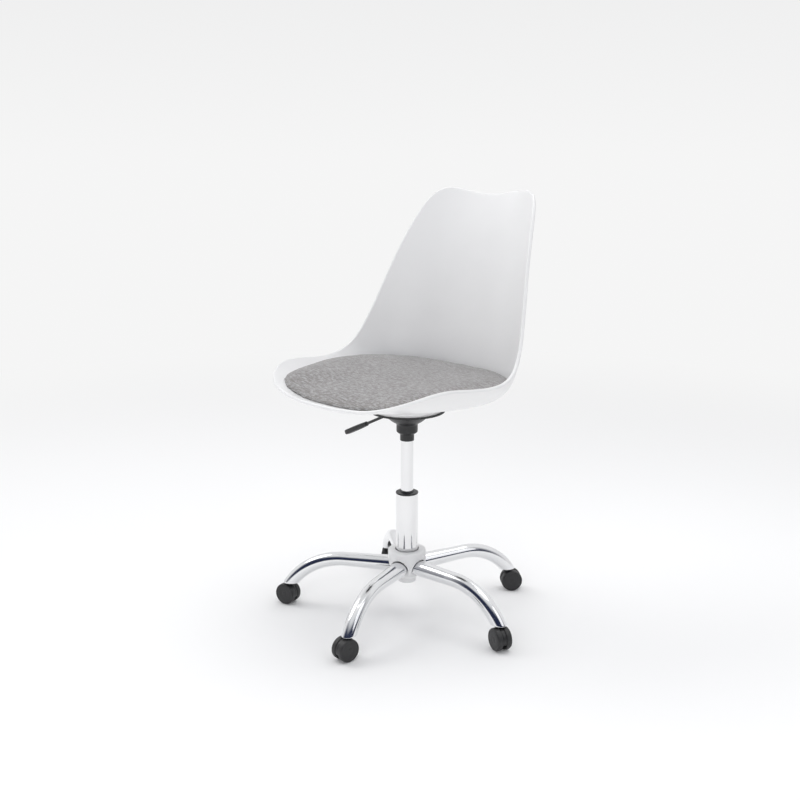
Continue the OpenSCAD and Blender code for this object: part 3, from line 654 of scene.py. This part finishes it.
def spline(table, t, mirrored=False):
    """Uniform cubic B-spline. A mirrored one is half of an outline that is symmetric about the middle."""
    table = np.array(table, float)
    flip = np.array([1, -1.0]) if mirrored else 1
    first = table[1] * flip if mirrored else 2 * table[0] - table[1]
    last = table[-2] * flip if mirrored else 2 * table[-1] - table[-2]
    rows = np.vstack([first, table, last])
    way = np.clip(t, 0, 0.99999) * (len(table) - 1)
    i = way.astype(int)
    f = (way - i)[..., None]
    return ((1 - f) ** 3 * rows[i] + (3 * f ** 3 - 6 * f ** 2 + 4) * rows[i + 1]
            + (-3 * f ** 3 + 3 * f ** 2 + 3 * f + 1) * rows[i + 2] + f ** 3 * rows[i + 3]) / 6


def unit(v):
    return v / np.linalg.norm(v, axis=-1, keepdims=True)


def inner(p, q):
    """Point of the shell's inner face, in millimetres."""
    t = p / 880
    middle = spline(spine, t)
    rise = spline(wall_rise, t)[..., 0] * (np.abs(q) / 250) ** 3.08
    slant = np.radians(81.6 - 50.2 / (1 + np.exp(-(t - 0.282) * 11.6)))
    return np.stack([q, -middle[..., 0] - rise * np.cos(slant), middle[..., 1] + rise * np.sin(slant)], -1)


def outward(p, q):
    return unit(np.cross(inner(p + 0.5, q) - inner(p - 0.5, q), inner(p, q + 0.5) - inner(p, q - 0.5)))


def outer(p, q, depth):
    return inner(p, q) + depth * outward(p, q)


def sheet(edge, centre, k, side):
    """Way of k = 0, on the centre line, to k = 1, at the edge, as p and q."""
    return centre + (edge[:, 0] - centre) * k, side * edge[:, 1] * k


print("dish over the column, in mm:", inner(np.array([300.0]), np.array([0.0])).round(1).tolist())

# %% Shell skin
columns, rings, rim_steps, rim_h, sheet_t = 150, 44, 12, 8.0, 5.0


def shell_half(side):
    """Rows of points from the inner centre line round the rim to the outer one, for one half."""
    t = np.linspace(0, 1, columns + 1)
    edge, centre = spline(shell_edge, t, mirrored=True), 442 - 333 * np.cos(np.pi * t)
    start, end = spline(shell_edge, np.maximum(t - 0.002, 0), True), spline(shell_edge, np.minimum(t + 0.002, 1), True)
    p, q = sheet(edge, centre, 1.0, side)
    normal = outward(p, q)
    along = unit(inner(end[:, 0], side * end[:, 1]) - inner(start[:, 0], side * start[:, 1]))
    away = side * np.cross(normal, along)
    tip = unit(inner(p, q) - inner(*sheet(edge, centre, 0.98, side)))
    away[[0, -1]] = tip[[0, -1]]
    away = unit(away)
    reach = np.linalg.norm(inner(p, q) - inner(*sheet(edge, centre, 0.9, side)), axis=1) / 0.1
    rows = [inner(*sheet(edge, centre, k, side)) for k in np.sin(np.linspace(0, np.pi / 2, rings))]
    for a in np.linspace(0, np.pi, rim_steps)[1:]:
        rows.append(inner(p, q) + rim_h / 2 * (np.sin(a) * away + (1 - np.cos(a)) * normal))
    for inset, depth in ((2.4, rim_h), (3.8, rim_h - 0.4), (4.6, rim_h - 1.4), (5.6, sheet_t + 0.3), (7.5, sheet_t)):
        rows.append(outer(*sheet(edge, centre, 1 - inset / reach, side), depth))
    last = 1 - 7.5 / reach
    for k in np.sin(np.linspace(np.pi / 2, 0, rings))[1:]:
        rows.append(outer(*sheet(edge, centre, k * last, side), sheet_t))
    return np.array(rows)


right, left = shell_half(1), shell_half(-1)
loop = np.concatenate([right, left[:, -2:0:-1]], axis=1) * MM
turns = loop.shape[1]
quads = [[r * turns + c, r * turns + (c + 1) % turns, (r + 1) * turns + (c + 1) % turns, (r + 1) * turns + c]
         for r in range(len(loop) - 1) for c in range(turns)]


def seam_strip(row):
    """Joins a row that runs out along the centre line and back, to close the skin there."""
    return {row * turns + c: row * turns + (turns - c) % turns for c in range(columns + 1, turns)}


merged = {**seam_strip(0), **seam_strip(len(loop) - 1)}
shell_faces = []
for quad in quads:
    corners = list(dict.fromkeys(merged.get(i, i) for i in quad))
    if len(corners) > 2:
        shell_faces.append(corners)
print("shell skin:", loop.shape, "points,", len(shell_faces), "faces")

# %% [markdown]
# A round boss under the dish meets the seat plate and holds the four threaded inserts. It is one
# turned ring of flares: wide where it grows out of the shell, so that it reads as moulded in one
# piece. Its upper side is hidden inside the sheet.

# %% Shell boss
plate_low, plate_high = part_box("seat_plate")
plate_r = radius_of("seat_plate")
boss_r = 80 * MM
seat_gap_z = plate_high.z + 0.1 * MM
underside = BVHTree.FromPolygons([Vector(p) for p in loop.reshape(-1, 3)], quads)


def sheet_over(x, y):
    """Height of the shell's underside over a place on the floor."""
    return underside.ray_cast(Vector((x, y, seat_gap_z - 0.02)), Vector((0, 0, 1)))[0].z


boss_steps = 120
boss_inner = boss_r - 6 * MM
flare = [(boss_r, 0.0), (boss_r + 0.4 * MM, 0.55), (boss_r + 1.5 * MM, 0.8), (boss_r + 4 * MM, 0.95),
         (boss_r + 8 * MM, 1.0)]
boss_points, boss_faces = [(0, 0, seat_gap_z)], []
for k in range(boss_steps):
    angle = 2 * math.pi * k / boss_steps
    c, s = math.cos(angle), math.sin(angle)
    boss_points.append(((boss_r - 1 * MM) * c, (boss_r - 1 * MM) * s, seat_gap_z))
    for radius, share in flare:
        top = sheet_over(radius * c, radius * s) + (0.15 * MM if share == 1.0 else 0)
        foot = seat_gap_z + 0.8 * MM
        boss_points.append((radius * c, radius * s, foot + (max(top, foot) - foot) * share))
    boss_points.append((boss_inner * c, boss_inner * s, sheet_over(boss_inner * c, boss_inner * s) + 1.5 * MM))
column_size = len(flare) + 2
for k in range(boss_steps):
    a, b = 1 + k * column_size, 1 + (k + 1) % boss_steps * column_size
    boss_faces.append([0, a, b])
    boss_faces += [[a + j, a + j + 1, b + j + 1, b + j] for j in range(column_size - 1)]
boss_top = len(boss_points)
boss_points.append((0, 0, sheet_over(0, 0) + 1.5 * MM))
boss_faces += [[(k + 1) * column_size, ((k + 1) % boss_steps + 1) * column_size, boss_top]
               for k in range(boss_steps)]
shell_points = [tuple(p) for p in loop.reshape(-1, 3)]
shift = len(shell_points)
fit("seat_shell_moulding", shell_points + boss_points,
    shell_faces + [[shift + i for i in face] for face in boss_faces], shell_white, "seat", ["seat_shell"], crease=50)

# %% [markdown]
# ## The pad
# Upholstery is never an exact shape: stuffing pushes the cover out until it is tight, and the
# seam holds the edge in. So the pad starts a little too small and is blown up by the Cloth
# solver with pressure inside. A voxel remesh first gives it the even faces that cloth needs.

# %% Pad blank
pad_columns, pad_rings = 56, [0.0, 0.15, 0.3, 0.45, 0.6, 0.72, 0.82, 0.89, 0.94, 0.97, 0.988]


def pad_half(side):
    t = np.linspace(0, 1, pad_columns + 1)
    edge = spline(pad_edge, t, mirrored=True)
    hem = outer(*sheet(edge, 300, 1.0, side), 0.8)
    rows, unders = [], []
    for k in pad_rings:
        low = outer(*sheet(edge, 300, k, side), -1.8 + 2.6 * k ** 8)
        crown = dish_z + 73 + (hem[:, 2] + 12.5 - dish_z - 73) * k ** 2
        high = low.copy()
        high[:, 2] += (crown - low[:, 2]) * math.sqrt(1 - k ** 12)
        rows.append(high)
        unders.append(low)
    return np.array(rows + [hem] + unders[::-1])


pad_loop = np.concatenate([pad_half(1), pad_half(-1)[:, -2:0:-1]], axis=1) * MM
around = pad_loop.shape[1]
pad_quads = [[r * around + c, r * around + (c + 1) % around, (r + 1) * around + (c + 1) % around, (r + 1) * around + c]
             for r in range(len(pad_loop) - 1) for c in range(around)]
print("pad blank:", pad_loop.shape)

# %% Pad blown up by the cloth solver
pad_low, pad_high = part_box("seat_cushion")


def soft_pad():
    mesh = bpy.data.meshes.new("pad")
    mesh.from_pydata([tuple(p) for p in pad_loop.reshape(-1, 3)], [], pad_quads)
    shape = bmesh.new()
    shape.from_mesh(mesh)
    bmesh.ops.remove_doubles(shape, verts=shape.verts, dist=1e-5)
    bmesh.ops.recalc_face_normals(shape, faces=shape.faces)
    shape.to_mesh(mesh)
    shape.free()
    pad = bpy.data.objects.new("pad", mesh)
    bpy.context.scene.collection.objects.link(pad)
    even = pad.modifiers.new("even", "REMESH")
    even.mode = "VOXEL"
    even.voxel_size = 5 * MM
    pad = applied(pad, "pad")
    blank = np.array([v.co[:] for v in pad.data.vertices])
    puff = pad.modifiers.new("puff", "CLOTH")
    puff.settings.use_pressure = True
    puff.settings.uniform_pressure_force = 4
    puff.settings.mass = 0.3
    puff.settings.tension_stiffness = 15
    puff.settings.compression_stiffness = 15
    puff.settings.bending_stiffness = 0.5
    puff.settings.effector_weights.gravity = 0
    puff.collision_settings.use_collision = False
    puff.point_cache.frame_start, puff.point_cache.frame_end = 1, 20
    for frame_number in range(1, 21):
        bpy.context.scene.frame_set(frame_number)
    shown = pad.evaluated_get(bpy.context.evaluated_depsgraph_get())
    blown = np.array([v.co[:] for v in shown.data.vertices])
    pad.modifiers.clear()
    bpy.context.scene.frame_set(1)
    moved = blown - blank
    length = np.linalg.norm(moved, axis=1, keepdims=True)
    held = blank + moved * np.minimum(1, 1.6 * MM / np.maximum(length, 1e-9))
    pad.data.vertices.foreach_set("co", held.ravel())
    print("cloth moved the cover by", round(float(length.mean() / MM), 2), "mm on average")
    smooth = pad.modifiers.new("smooth", "SUBSURF")
    smooth.levels = smooth.render_levels = 1
    return applied(pad, "seat_pad")


seat_pad = soft_pad()
seat_pad.data.materials.clear()
seat_pad.data.materials.append(felt_grey)
settle(seat_pad, "seat", ["seat_cushion"], crease=80)
low, high = np.array(seat_pad.bound_box).min(0) / MM, np.array(seat_pad.bound_box).max(0) / MM
print("pad box in mm:", low.round(1), high.round(1), "CAD:", [round(c / MM, 1) for c in (*pad_low, *pad_high)])

# %% [markdown]
# ## Five legs from one rule
# All legs are the same bent tube, so one node tree makes them. A flat grid is bent into a tube:
# one of its directions runs out along the leg and back inside the wall, the other runs round
# it. The rule is plain arithmetic: a straight, slightly rising part, then an arc, cut off level
# above the caster. `Field` lets that arithmetic be written as Python: each operation adds a
# Math node.

# %% Fields for node trees
class Field:
    """A number at every point of a geometry. Arithmetic on fields adds Math nodes."""

    def __init__(self, tree, socket):
        self.tree, self.socket = tree, socket

    def use(self, operation, *others):
        values = [self.socket] + [o.socket if isinstance(o, Field) else o for o in others]
        node = add(self.tree, "ShaderNodeMath", dict(enumerate(values)), operation=operation)
        return Field(self.tree, node.outputs[0])

    def __add__(self, other):
        return self.use("ADD", other)

    def __sub__(self, other):
        return self.use("SUBTRACT", other)

    def __mul__(self, other):
        return self.use("MULTIPLY", other)

    def __truediv__(self, other):
        return self.use("DIVIDE", other)

    def at_least(self, low):
        return self.use("MAXIMUM", low)

    def at_most(self, high):
        return self.use("MINIMUM", high)

    def sine(self):
        return self.use("SINE")

    def cosine(self):
        return self.use("COSINE")


def shape_tree(name, inputs):
    """An empty geometry tree with named number inputs, and its input fields."""
    tree = bpy.data.node_groups.new(name, "GeometryNodeTree")
    for label, default in inputs.items():
        kind = "NodeSocketInt" if isinstance(default, int) else "NodeSocketFloat"
        tree.interface.new_socket(name=label, in_out="INPUT", socket_type=kind).default_value = default
    tree.interface.new_socket(name="Geometry", in_out="OUTPUT", socket_type="NodeSocketGeometry")
    source = tree.nodes.new("NodeGroupInput").outputs
    return tree, {label: Field(tree, source[label]) for label in inputs}


def turned_copies(tree, geometry, count, reach=0.0, offset=0.0):
    """Count copies of a geometry, turned evenly about the Z axis, as real geometry."""
    index = Field(tree, add(tree, "GeometryNodeInputIndex").outputs[0])
    angle = index * (2 * math.pi) / count + offset
    spot = add(tree, "ShaderNodeCombineXYZ", {0: (angle.cosine() * reach).socket, 1: (angle.sine() * reach).socket})
    places = add(tree, "GeometryNodePoints", {"Count": count.socket, "Position": spot.outputs[0]})
    turn = add(tree, "FunctionNodeAxisAngleToRotation", {"Axis": (0, 0, 1), "Angle": angle.socket})
    copies = add(tree, "GeometryNodeInstanceOnPoints", {
        "Points": places.outputs[0], "Instance": geometry, "Rotation": turn.outputs[0]})
    return add(tree, "GeometryNodeRealizeInstances", {"Geometry": copies.outputs[0]}).outputs[0]


def grown(name, tree, geometry, material, values=None):
    """Ends a tree with Set Material, runs it on an empty mesh, and returns the plain mesh object."""
    painted = add(tree, "GeometryNodeSetMaterial", {"Geometry": geometry, "Material": material})
    tree.links.new(painted.outputs[0], tree.nodes.new("NodeGroupOutput").inputs["Geometry"])
    seed = loose(name + "_seed", [], [])
    maker = seed.modifiers.new("maker", "NODES")
    maker.node_group = tree
    for item in tree.interface.items_tree:
        if item.in_out == "INPUT" and item.name in (values or {}):
            maker[item.identifier] = values[item.name]
    piece = applied(seed, name)
    piece.data.materials.clear()
    piece.data.materials.append(material)
    shape = bmesh.new()
    shape.from_mesh(piece.data)
    bmesh.ops.recalc_face_normals(shape, faces=shape.faces)
    shape.to_mesh(piece.data)
    shape.free()
    return piece


# %% Leg rule
legs, size = shape_tree("bent_tube_legs", {
    "Legs": 5, "Tube Radius": 0.016, "Root Radius": 0.0188, "Wall": 0.002, "Swage Length": 0.107,
    "Bend Radius": 0.150, "Bend Centre X": 0.14941, "Bend Centre Z": -0.03295, "Rise": math.radians(1.5),
    "Straight Length": 0.1140, "End Height": 0.0535})
grid = add(legs, "GeometryNodeMeshGrid", {"Size X": 1.0, "Size Y": 1.0, "Vertices X": 241, "Vertices Y": 81})
place_xyz = add(legs, "ShaderNodeSeparateXYZ", {0: add(legs, "GeometryNodeInputPosition").outputs[0]})
u = Field(legs, place_xyz.outputs[0]) + 0.5
phi = (Field(legs, place_xyz.outputs[1]) + 0.5) * (2 * math.pi)
out_and_back = (u / 0.475).at_most((u * -1 + 1.0) / 0.475).at_most(1.0)
through_lip = ((u - 0.475) / 0.05).at_least(0.0).at_most(1.0)
closing = ((u - 0.9965) / 0.0035).at_least(0.0).at_most(1.0)
depth = (through_lip - closing) * size["Wall"]
off_middle = through_lip * 2 - 1
lip_round = ((off_middle * off_middle * -1 + 1).at_least(0.0).use("SQRT") * -1 + 1) * 0.0008
bend_end = ((size["End Height"] - size["Bend Centre Z"]) / (
    size["Bend Radius"] + size["Tube Radius"] * phi.cosine())).use("ARCCOSINE")
length = size["Straight Length"] + size["Bend Radius"] * (bend_end + size["Rise"]) - lip_round
travel = out_and_back * length
past_bend = (travel - size["Straight Length"]).at_least(0.0)
before_bend = (travel - size["Straight Length"]).at_most(0.0)
swage = ((before_bend * -1 - 0.0175) / size["Swage Length"]).at_least(0.0)
radius = size["Tube Radius"] + (size["Root Radius"] - size["Tube Radius"]) * swage - depth
tau = past_bend / size["Bend Radius"] - size["Rise"]
from_centre = size["Bend Radius"] + radius * phi.cosine()
leg_x = size["Bend Centre X"] + from_centre * tau.sine() + before_bend * size["Rise"].cosine()
leg_z = size["Bend Centre Z"] + from_centre * tau.cosine() + before_bend * size["Rise"].sine()
bent = add(legs, "ShaderNodeCombineXYZ", {0: leg_x.socket, 1: (radius * phi.sine()).socket, 2: leg_z.socket})
moved = add(legs, "GeometryNodeSetPosition", {"Geometry": grid.outputs[0], "Position": bent.outputs[0]})
sealed = add(legs, "GeometryNodeMergeByDistance", {"Geometry": moved.outputs[0], "Distance": 0.00002})
five = turned_copies(legs, sealed.outputs[0], size["Legs"])
leg_piece = grown("leg_tubes", legs, five, leg_chrome, {"Legs": 5})
settle(leg_piece, "base", [f"leg_{i}" for i in range(1, 6)], crease=40)
print("legs:", len(leg_piece.data.polygons), "faces,", [round(c / MM, 1) for c in leg_piece.dimensions])

# %% [markdown]
# ## Under the seat
# The mechanism is a black die-cast boss, flared where it meets the round seat plate. The height
# lever comes out of a slot in its side. Four socket screws hold the plate to the shell.

# %% Mechanism, plate and screws
sleeve = housing_low.z / MM
housing_top = housing_high.z / MM
housing_outline = eased([(r * MM, z * MM) for r, z in [
    (14.2, sleeve), (15.7, sleeve), (15.7, sleeve + 14), (20, sleeve + 17), (23.8, sleeve + 20), (23.8, sleeve + 37),
    (28, sleeve + 41), (34, sleeve + 44), (45, sleeve + 53), (59, housing_top), (15, housing_top), (15, sleeve + 30),
    (14.2, sleeve + 30)]], [r * MM for r in (0.5, 0.8, 3, 3, 2.5, 4, 3, 5, 8, 0.6, 0, 0, 0)], steps=7)
slot_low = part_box("lever_pivot")[0].z - 13 * MM
slot_high = housing_high.z - 1.5 * MM
slot_block = [(x * MM, y * MM, z) for x in (-80, -5) for y in (-6.8, 6.8) for z in (slot_low, slot_high)]
slot_faces = [[0, 1, 3, 2], [4, 6, 7, 5], [0, 4, 5, 1], [2, 3, 7, 6], [0, 2, 6, 4], [1, 5, 7, 3]]
housing = cut_away(loose("housing_blank", *spun(housing_outline, 128)), [loose("slot", slot_block, slot_faces)],
                   "mechanism_casting", 0.5 * MM)
housing.data.materials.clear()
housing.data.materials.append(black_skin)
settle(housing, "seat", ["mechanism_housing"], crease=35)

plate_outline = eased([(0, plate_low.z), (plate_r, plate_low.z), (plate_r, plate_high.z), (0, plate_high.z)], 0.7 * MM)
fit("seat_plate_disc", *spun(plate_outline, 160), coated_black, "seat", ["seat_plate"])

screws, size = shape_tree("ring_of_screws", {
    "Screws": 4, "Ring Radius": 0.069, "Head Radius": 0.0051, "Head Height": 0.004, "Key Width": 0.0045})
bolt_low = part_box("seat_bolts")[0]
head = add(screws, "GeometryNodeMeshCylinder", {
    "Vertices": 48, "Radius": size["Head Radius"].socket, "Depth": size["Head Height"].socket})
key = add(screws, "GeometryNodeMeshCylinder", {
    "Vertices": 6, "Radius": (size["Key Width"] * 0.577).socket, "Depth": size["Head Height"].socket})
key_low = add(screws, "GeometryNodeTransform", {"Geometry": key.outputs[0], "Translation": (0, 0, -0.0018)})
keyed = add(screws, "GeometryNodeMeshBoolean", {"Mesh 1": head.outputs[0], "Mesh 2": key_low.outputs[0]},
            operation="DIFFERENCE")
shank = add(screws, "GeometryNodeMeshCylinder", {"Vertices": 32, "Radius": 0.003, "Depth": 0.0085})
shank_up = add(screws, "GeometryNodeTransform", {"Geometry": shank.outputs[0], "Translation": (0, 0, 0.0062)})
screw = add(screws, "GeometryNodeJoinGeometry")
for part in (keyed.outputs[0], shank_up.outputs[0]):
    screws.links.new(part, screw.inputs[0])
raised = add(screws, "GeometryNodeTransform", {"Geometry": screw.outputs[0], "Translation": (0, 0, bolt_low.z + 0.002)})
ring_of = turned_copies(screws, raised.outputs[0], size["Screws"], size["Ring Radius"], math.pi / 4)
screw_piece = grown("seat_screws", screws, ring_of, coated_black, {"Screws": 4})
settle(screw_piece, "seat", ["seat_bolts"], crease=30)
print("screws:", len(screw_piece.data.polygons), "faces")

# %% Lever
def lofted(stations, sides=32):
    """A closed body through rings. A station is (centre, side, up, half width, half height, squareness)."""
    points, faces = [], []
    for centre, side, up, wide, tall, square in stations:
        for a in np.linspace(0, 2 * math.pi, sides + 1)[:-1]:
            c, s = math.cos(a), math.sin(a)
            points.append(Vector(centre) + Vector(side) * wide * math.copysign(abs(c) ** (2 / square), c)
                          + Vector(up) * tall * math.copysign(abs(s) ** (2 / square), s))
    for k in range(len(stations) - 1):
        faces += [[k * sides + j, k * sides + (j + 1) % sides, (k + 1) * sides + (j + 1) % sides, (k + 1) * sides + j]
                  for j in range(sides)]
    return points, faces + [list(range(sides)), list(range((len(stations) - 1) * sides, len(stations) * sides))]


pivot_low, pivot_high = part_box("lever_pivot")
pivot_z = (pivot_low.z + pivot_high.z) / 2
bend_x, slope = -34 * MM, math.radians(26)
down_way = Vector((-math.cos(slope), 0, -math.sin(slope)))
rod_r, rod_end = 3.3 * MM, 0.167
stations = []
for t in np.linspace(0, 1, 5):
    stations.append(((1 * MM + t * (bend_x + 6 * MM - 1 * MM), 0, pivot_z), (0, 1, 0), (0, 0, 1), rod_r, rod_r, 2))
for t in np.linspace(0.1, 1, 8):
    tilt = slope * t
    mixed_x = bend_x + 6 * MM - 12 * MM * t * (1 - 0.05 * t)
    stations.append(((mixed_x, 0, pivot_z - 6 * MM * math.sin(slope) * t * t), (0, 1, 0),
                     (-math.sin(tilt), 0, math.cos(tilt)), rod_r, rod_r, 2))
start = Vector((bend_x, 0, pivot_z)) + down_way * 7 * MM
for t in np.linspace(0, 1, 8):
    spot = start + down_way * (rod_end - 7 * MM) * t
    stations.append((spot, (0, 1, 0), (-math.sin(slope), 0, math.cos(slope)), rod_r, rod_r, 2))
fit("lever_rod_bar", *lofted(stations), coated_black, "lever", ["lever_rod"])

lever_length, grip_length = 179, 74
grip_start = Vector((bend_x, 0, pivot_z)) + down_way * (lever_length - grip_length) * MM
# distance along the grip, half width, half height and how square the section is
grip_rows = [
    (0, 3.4, 3.4, 2), (0, 4.7, 4.7, 2), (0.5, 5.3, 5.3, 2), (3, 5.5, 5.4, 2.2), (10, 6.4, 5.6, 2.8),
    (22, 7.8, 5.9, 3.4), (32, 8.9, 6, 4), (41, 9.8, 6, 4.5), (52, 10, 6, 4.5), (64, 10, 6, 4.5),
    (70, 9.8, 5.9, 4.5), (72.8, 9.2, 5.6, 4.2), (73.7, 8.5, 5, 4), (grip_length, 7.4, 4.2, 3.6),
]
grip = [(grip_start + down_way * z * MM, (0, 1, 0), (-math.sin(slope), 0, math.cos(slope)), w * MM, h * MM, n)
        for z, w, h, n in grip_rows]
fit("lever_grip_paddle", *lofted(grip, 64), black_skin, "lever", ["lever_grip"], crease=50)
print("lever ends at", [round(c / MM) for c in grip[-1][0]])

# %% [markdown]
# ## Casters
# Each caster is two wheels on one axle, with a thin hood between them that turns on its stem.
# A wheel is lathe work: a rounded tread, a flat face with a shallow groove, and a hub cap. Thin
# ribs, grown by a node tree, stiffen its hollow inner side. Every wheel is its own piece,
# because every wheel turns by itself.

# %% Caster shapes
wheel_r, wheel_in, wheel_out = 24.8, 4.5, 17.0
axle_x = 12 * MM
wheel_outline = eased([(r * MM, y * MM) for r, y in [
    (3.05, wheel_in), (7.0, wheel_in), (7.0, 13.4), (20.2, 13.4), (20.6, wheel_in), (24.0, wheel_in), (wheel_r, 6.0),
    (wheel_r, 13.8), (23.2, wheel_out), (20.4, wheel_out), (20.0, 16.5), (19.2, 16.5), (18.8, 16.9), (7.4, 16.9),
    (7.0, 16.5), (6.4, 16.5), (6.0, 17.1), (0, 17.3), (0, 14.1), (3.05, 14.1)]],
    [0.4 * MM, 0.5 * MM, 0.8 * MM, 0.8 * MM, 0.4 * MM, 0.6 * MM, 0.8 * MM, 2 * MM, 1.6 * MM, 0.3 * MM, 0.2 * MM,
     0.2 * MM, 0.3 * MM, 0.3 * MM, 0.2 * MM, 0.2 * MM, 0.6 * MM, 0, 0, 0.2 * MM])
wheel_points, wheel_faces = spun(wheel_outline, 80)

ribs, size = shape_tree("wheel_ribs", {"Ribs": 8, "Rib Length": 0.0132, "Rib Height": 0.008, "Rib Thickness": 0.0012})
rib_size = add(ribs, "ShaderNodeCombineXYZ", {
    0: size["Rib Length"].socket, 1: size["Rib Thickness"].socket, 2: size["Rib Height"].socket})
rib = add(ribs, "GeometryNodeMeshCube", {"Size": rib_size.outputs[0]})
rib_place = add(ribs, "ShaderNodeCombineXYZ", {
    0: (size["Rib Length"] * 0.5 + 0.0069).socket, 2: (size["Rib Height"] * -0.5 + 0.0136).socket})
rib_out = add(ribs, "GeometryNodeTransform", {"Geometry": rib.outputs[0], "Translation": rib_place.outputs[0]})
rib_ring = grown("wheel_ribs", ribs, turned_copies(ribs, rib_out.outputs[0], size["Ribs"]), wheel_black, {"Ribs": 8})
rib_points = [v.co.copy() for v in rib_ring.data.vertices]
rib_faces = [list(p.vertices) for p in rib_ring.data.polygons]
bpy.data.objects.remove(rib_ring)


def joined(*parts):
    points, faces = [], []
    for part_points, part_faces in parts:
        shift = len(points)
        points += [Vector(p) for p in part_points]
        faces += [[shift + i for i in face] for face in part_faces]
    return points, faces


def hood():
    """Disc over the axle, neck and flange, in the caster's own frame."""
    disc_r, foot, half = 23.4, 18.0, 4.1
    turn = math.asin((wheel_r - foot) / disc_r)
    rim = [(12 + disc_r * math.cos(a), wheel_r + disc_r * math.sin(a))
           for a in np.linspace(-turn, math.pi + turn, 49)]
    n = len(rim)
    flat = loose("hood_blank", [(x * MM, y * MM, z * MM) for y in (-half, half) for x, z in rim],
                 [list(range(n)), list(range(n, 2 * n))]
                 + [[k, (k + 1) % n, n + (k + 1) % n, n + k] for k in range(n)])
    disc = cut_away(flat, [], "hood", 0.7 * MM)
    parts = [([v.co.copy() for v in disc.data.vertices], [list(p.vertices) for p in disc.data.polygons])]
    bpy.data.objects.remove(disc)
    neck = eased([(r * MM, z * MM) for r, z in [
        (0, 40), (6.5, 40), (6.5, 48.5), (10.5, 50.2), (10.5, 52.5), (0, 52.5)]],
        [r * MM for r in (0, 0.4, 2, 0.6, 0.6, 0)])
    points, faces = spun(neck, 48)
    return joined(*parts, ([(x, y * 0.64 if z < 47 * MM else y, z) for x, y, z in points], faces))


hood_points, hood_faces = hood()
wheel_full = joined((wheel_points, wheel_faces), (rib_points, rib_faces))
print("wheel:", len(wheel_full[1]), "faces, hood:", len(hood_faces), "faces")

# %% Casters set on the legs
stem_circle = 270 * MM
for i, leg_angle in enumerate(leg_angles, start=1):
    at_caster = (Matrix.Rotation(leg_angle, 4, "Z") @ Matrix.Translation((stem_circle, 0, 0))
                 @ Matrix.Rotation(math.radians(-22), 4, "Z"))
    fit(f"caster_{i}_hood", [at_caster @ Vector(p) for p in hood_points], hood_faces, black_skin, f"caster_{i}",
        [f"caster_hood_{i}"])
    for side, letter in ((1, "a"), (-1, "b")):
        on_axle = (at_caster @ Matrix.Translation((axle_x, 0, wheel_r * MM))
                   @ Matrix.Rotation(math.radians(90 * side), 4, "X"))
        fit(f"caster_{i}_wheel_{letter}", [on_axle @ p for p in wheel_full[0]], wheel_full[1], wheel_black,
            f"wheel_{letter}_{i}", [f"caster_wheel_{letter}_{i}"])
print(len(pieces_made), "pieces so far")

# %% [markdown]
# ## Hidden works
# The rod, bearing, clip, pins and sleeves keep their engineering shape. They get the same care in
# finish: they show in a cut-away, and some show when the seat is high.

# %% Finishes on engineering nodes
steel_nodes = ["pipe_floor", "stem_sleeves", "lower_race", "upper_race", "rod_washer", "rod_clip", "release_pin",
               "lever_pivot", "piston_rod"] + [f"caster_{part}_{i}" for part in ("stem", "axle") for i in range(1, 6)]
brass_nodes = ["ball_cage", "seat_inserts"]
for names, material in ((steel_nodes, plain_steel), (brass_nodes, plain_brass), (["piston"], black_skin)):
    for name in names:
        mesh = nodes[name].data
        mesh.materials.clear()
        mesh.materials.append(material)
print(len(steel_nodes) + len(brass_nodes) + 1, "engineering nodes finished")
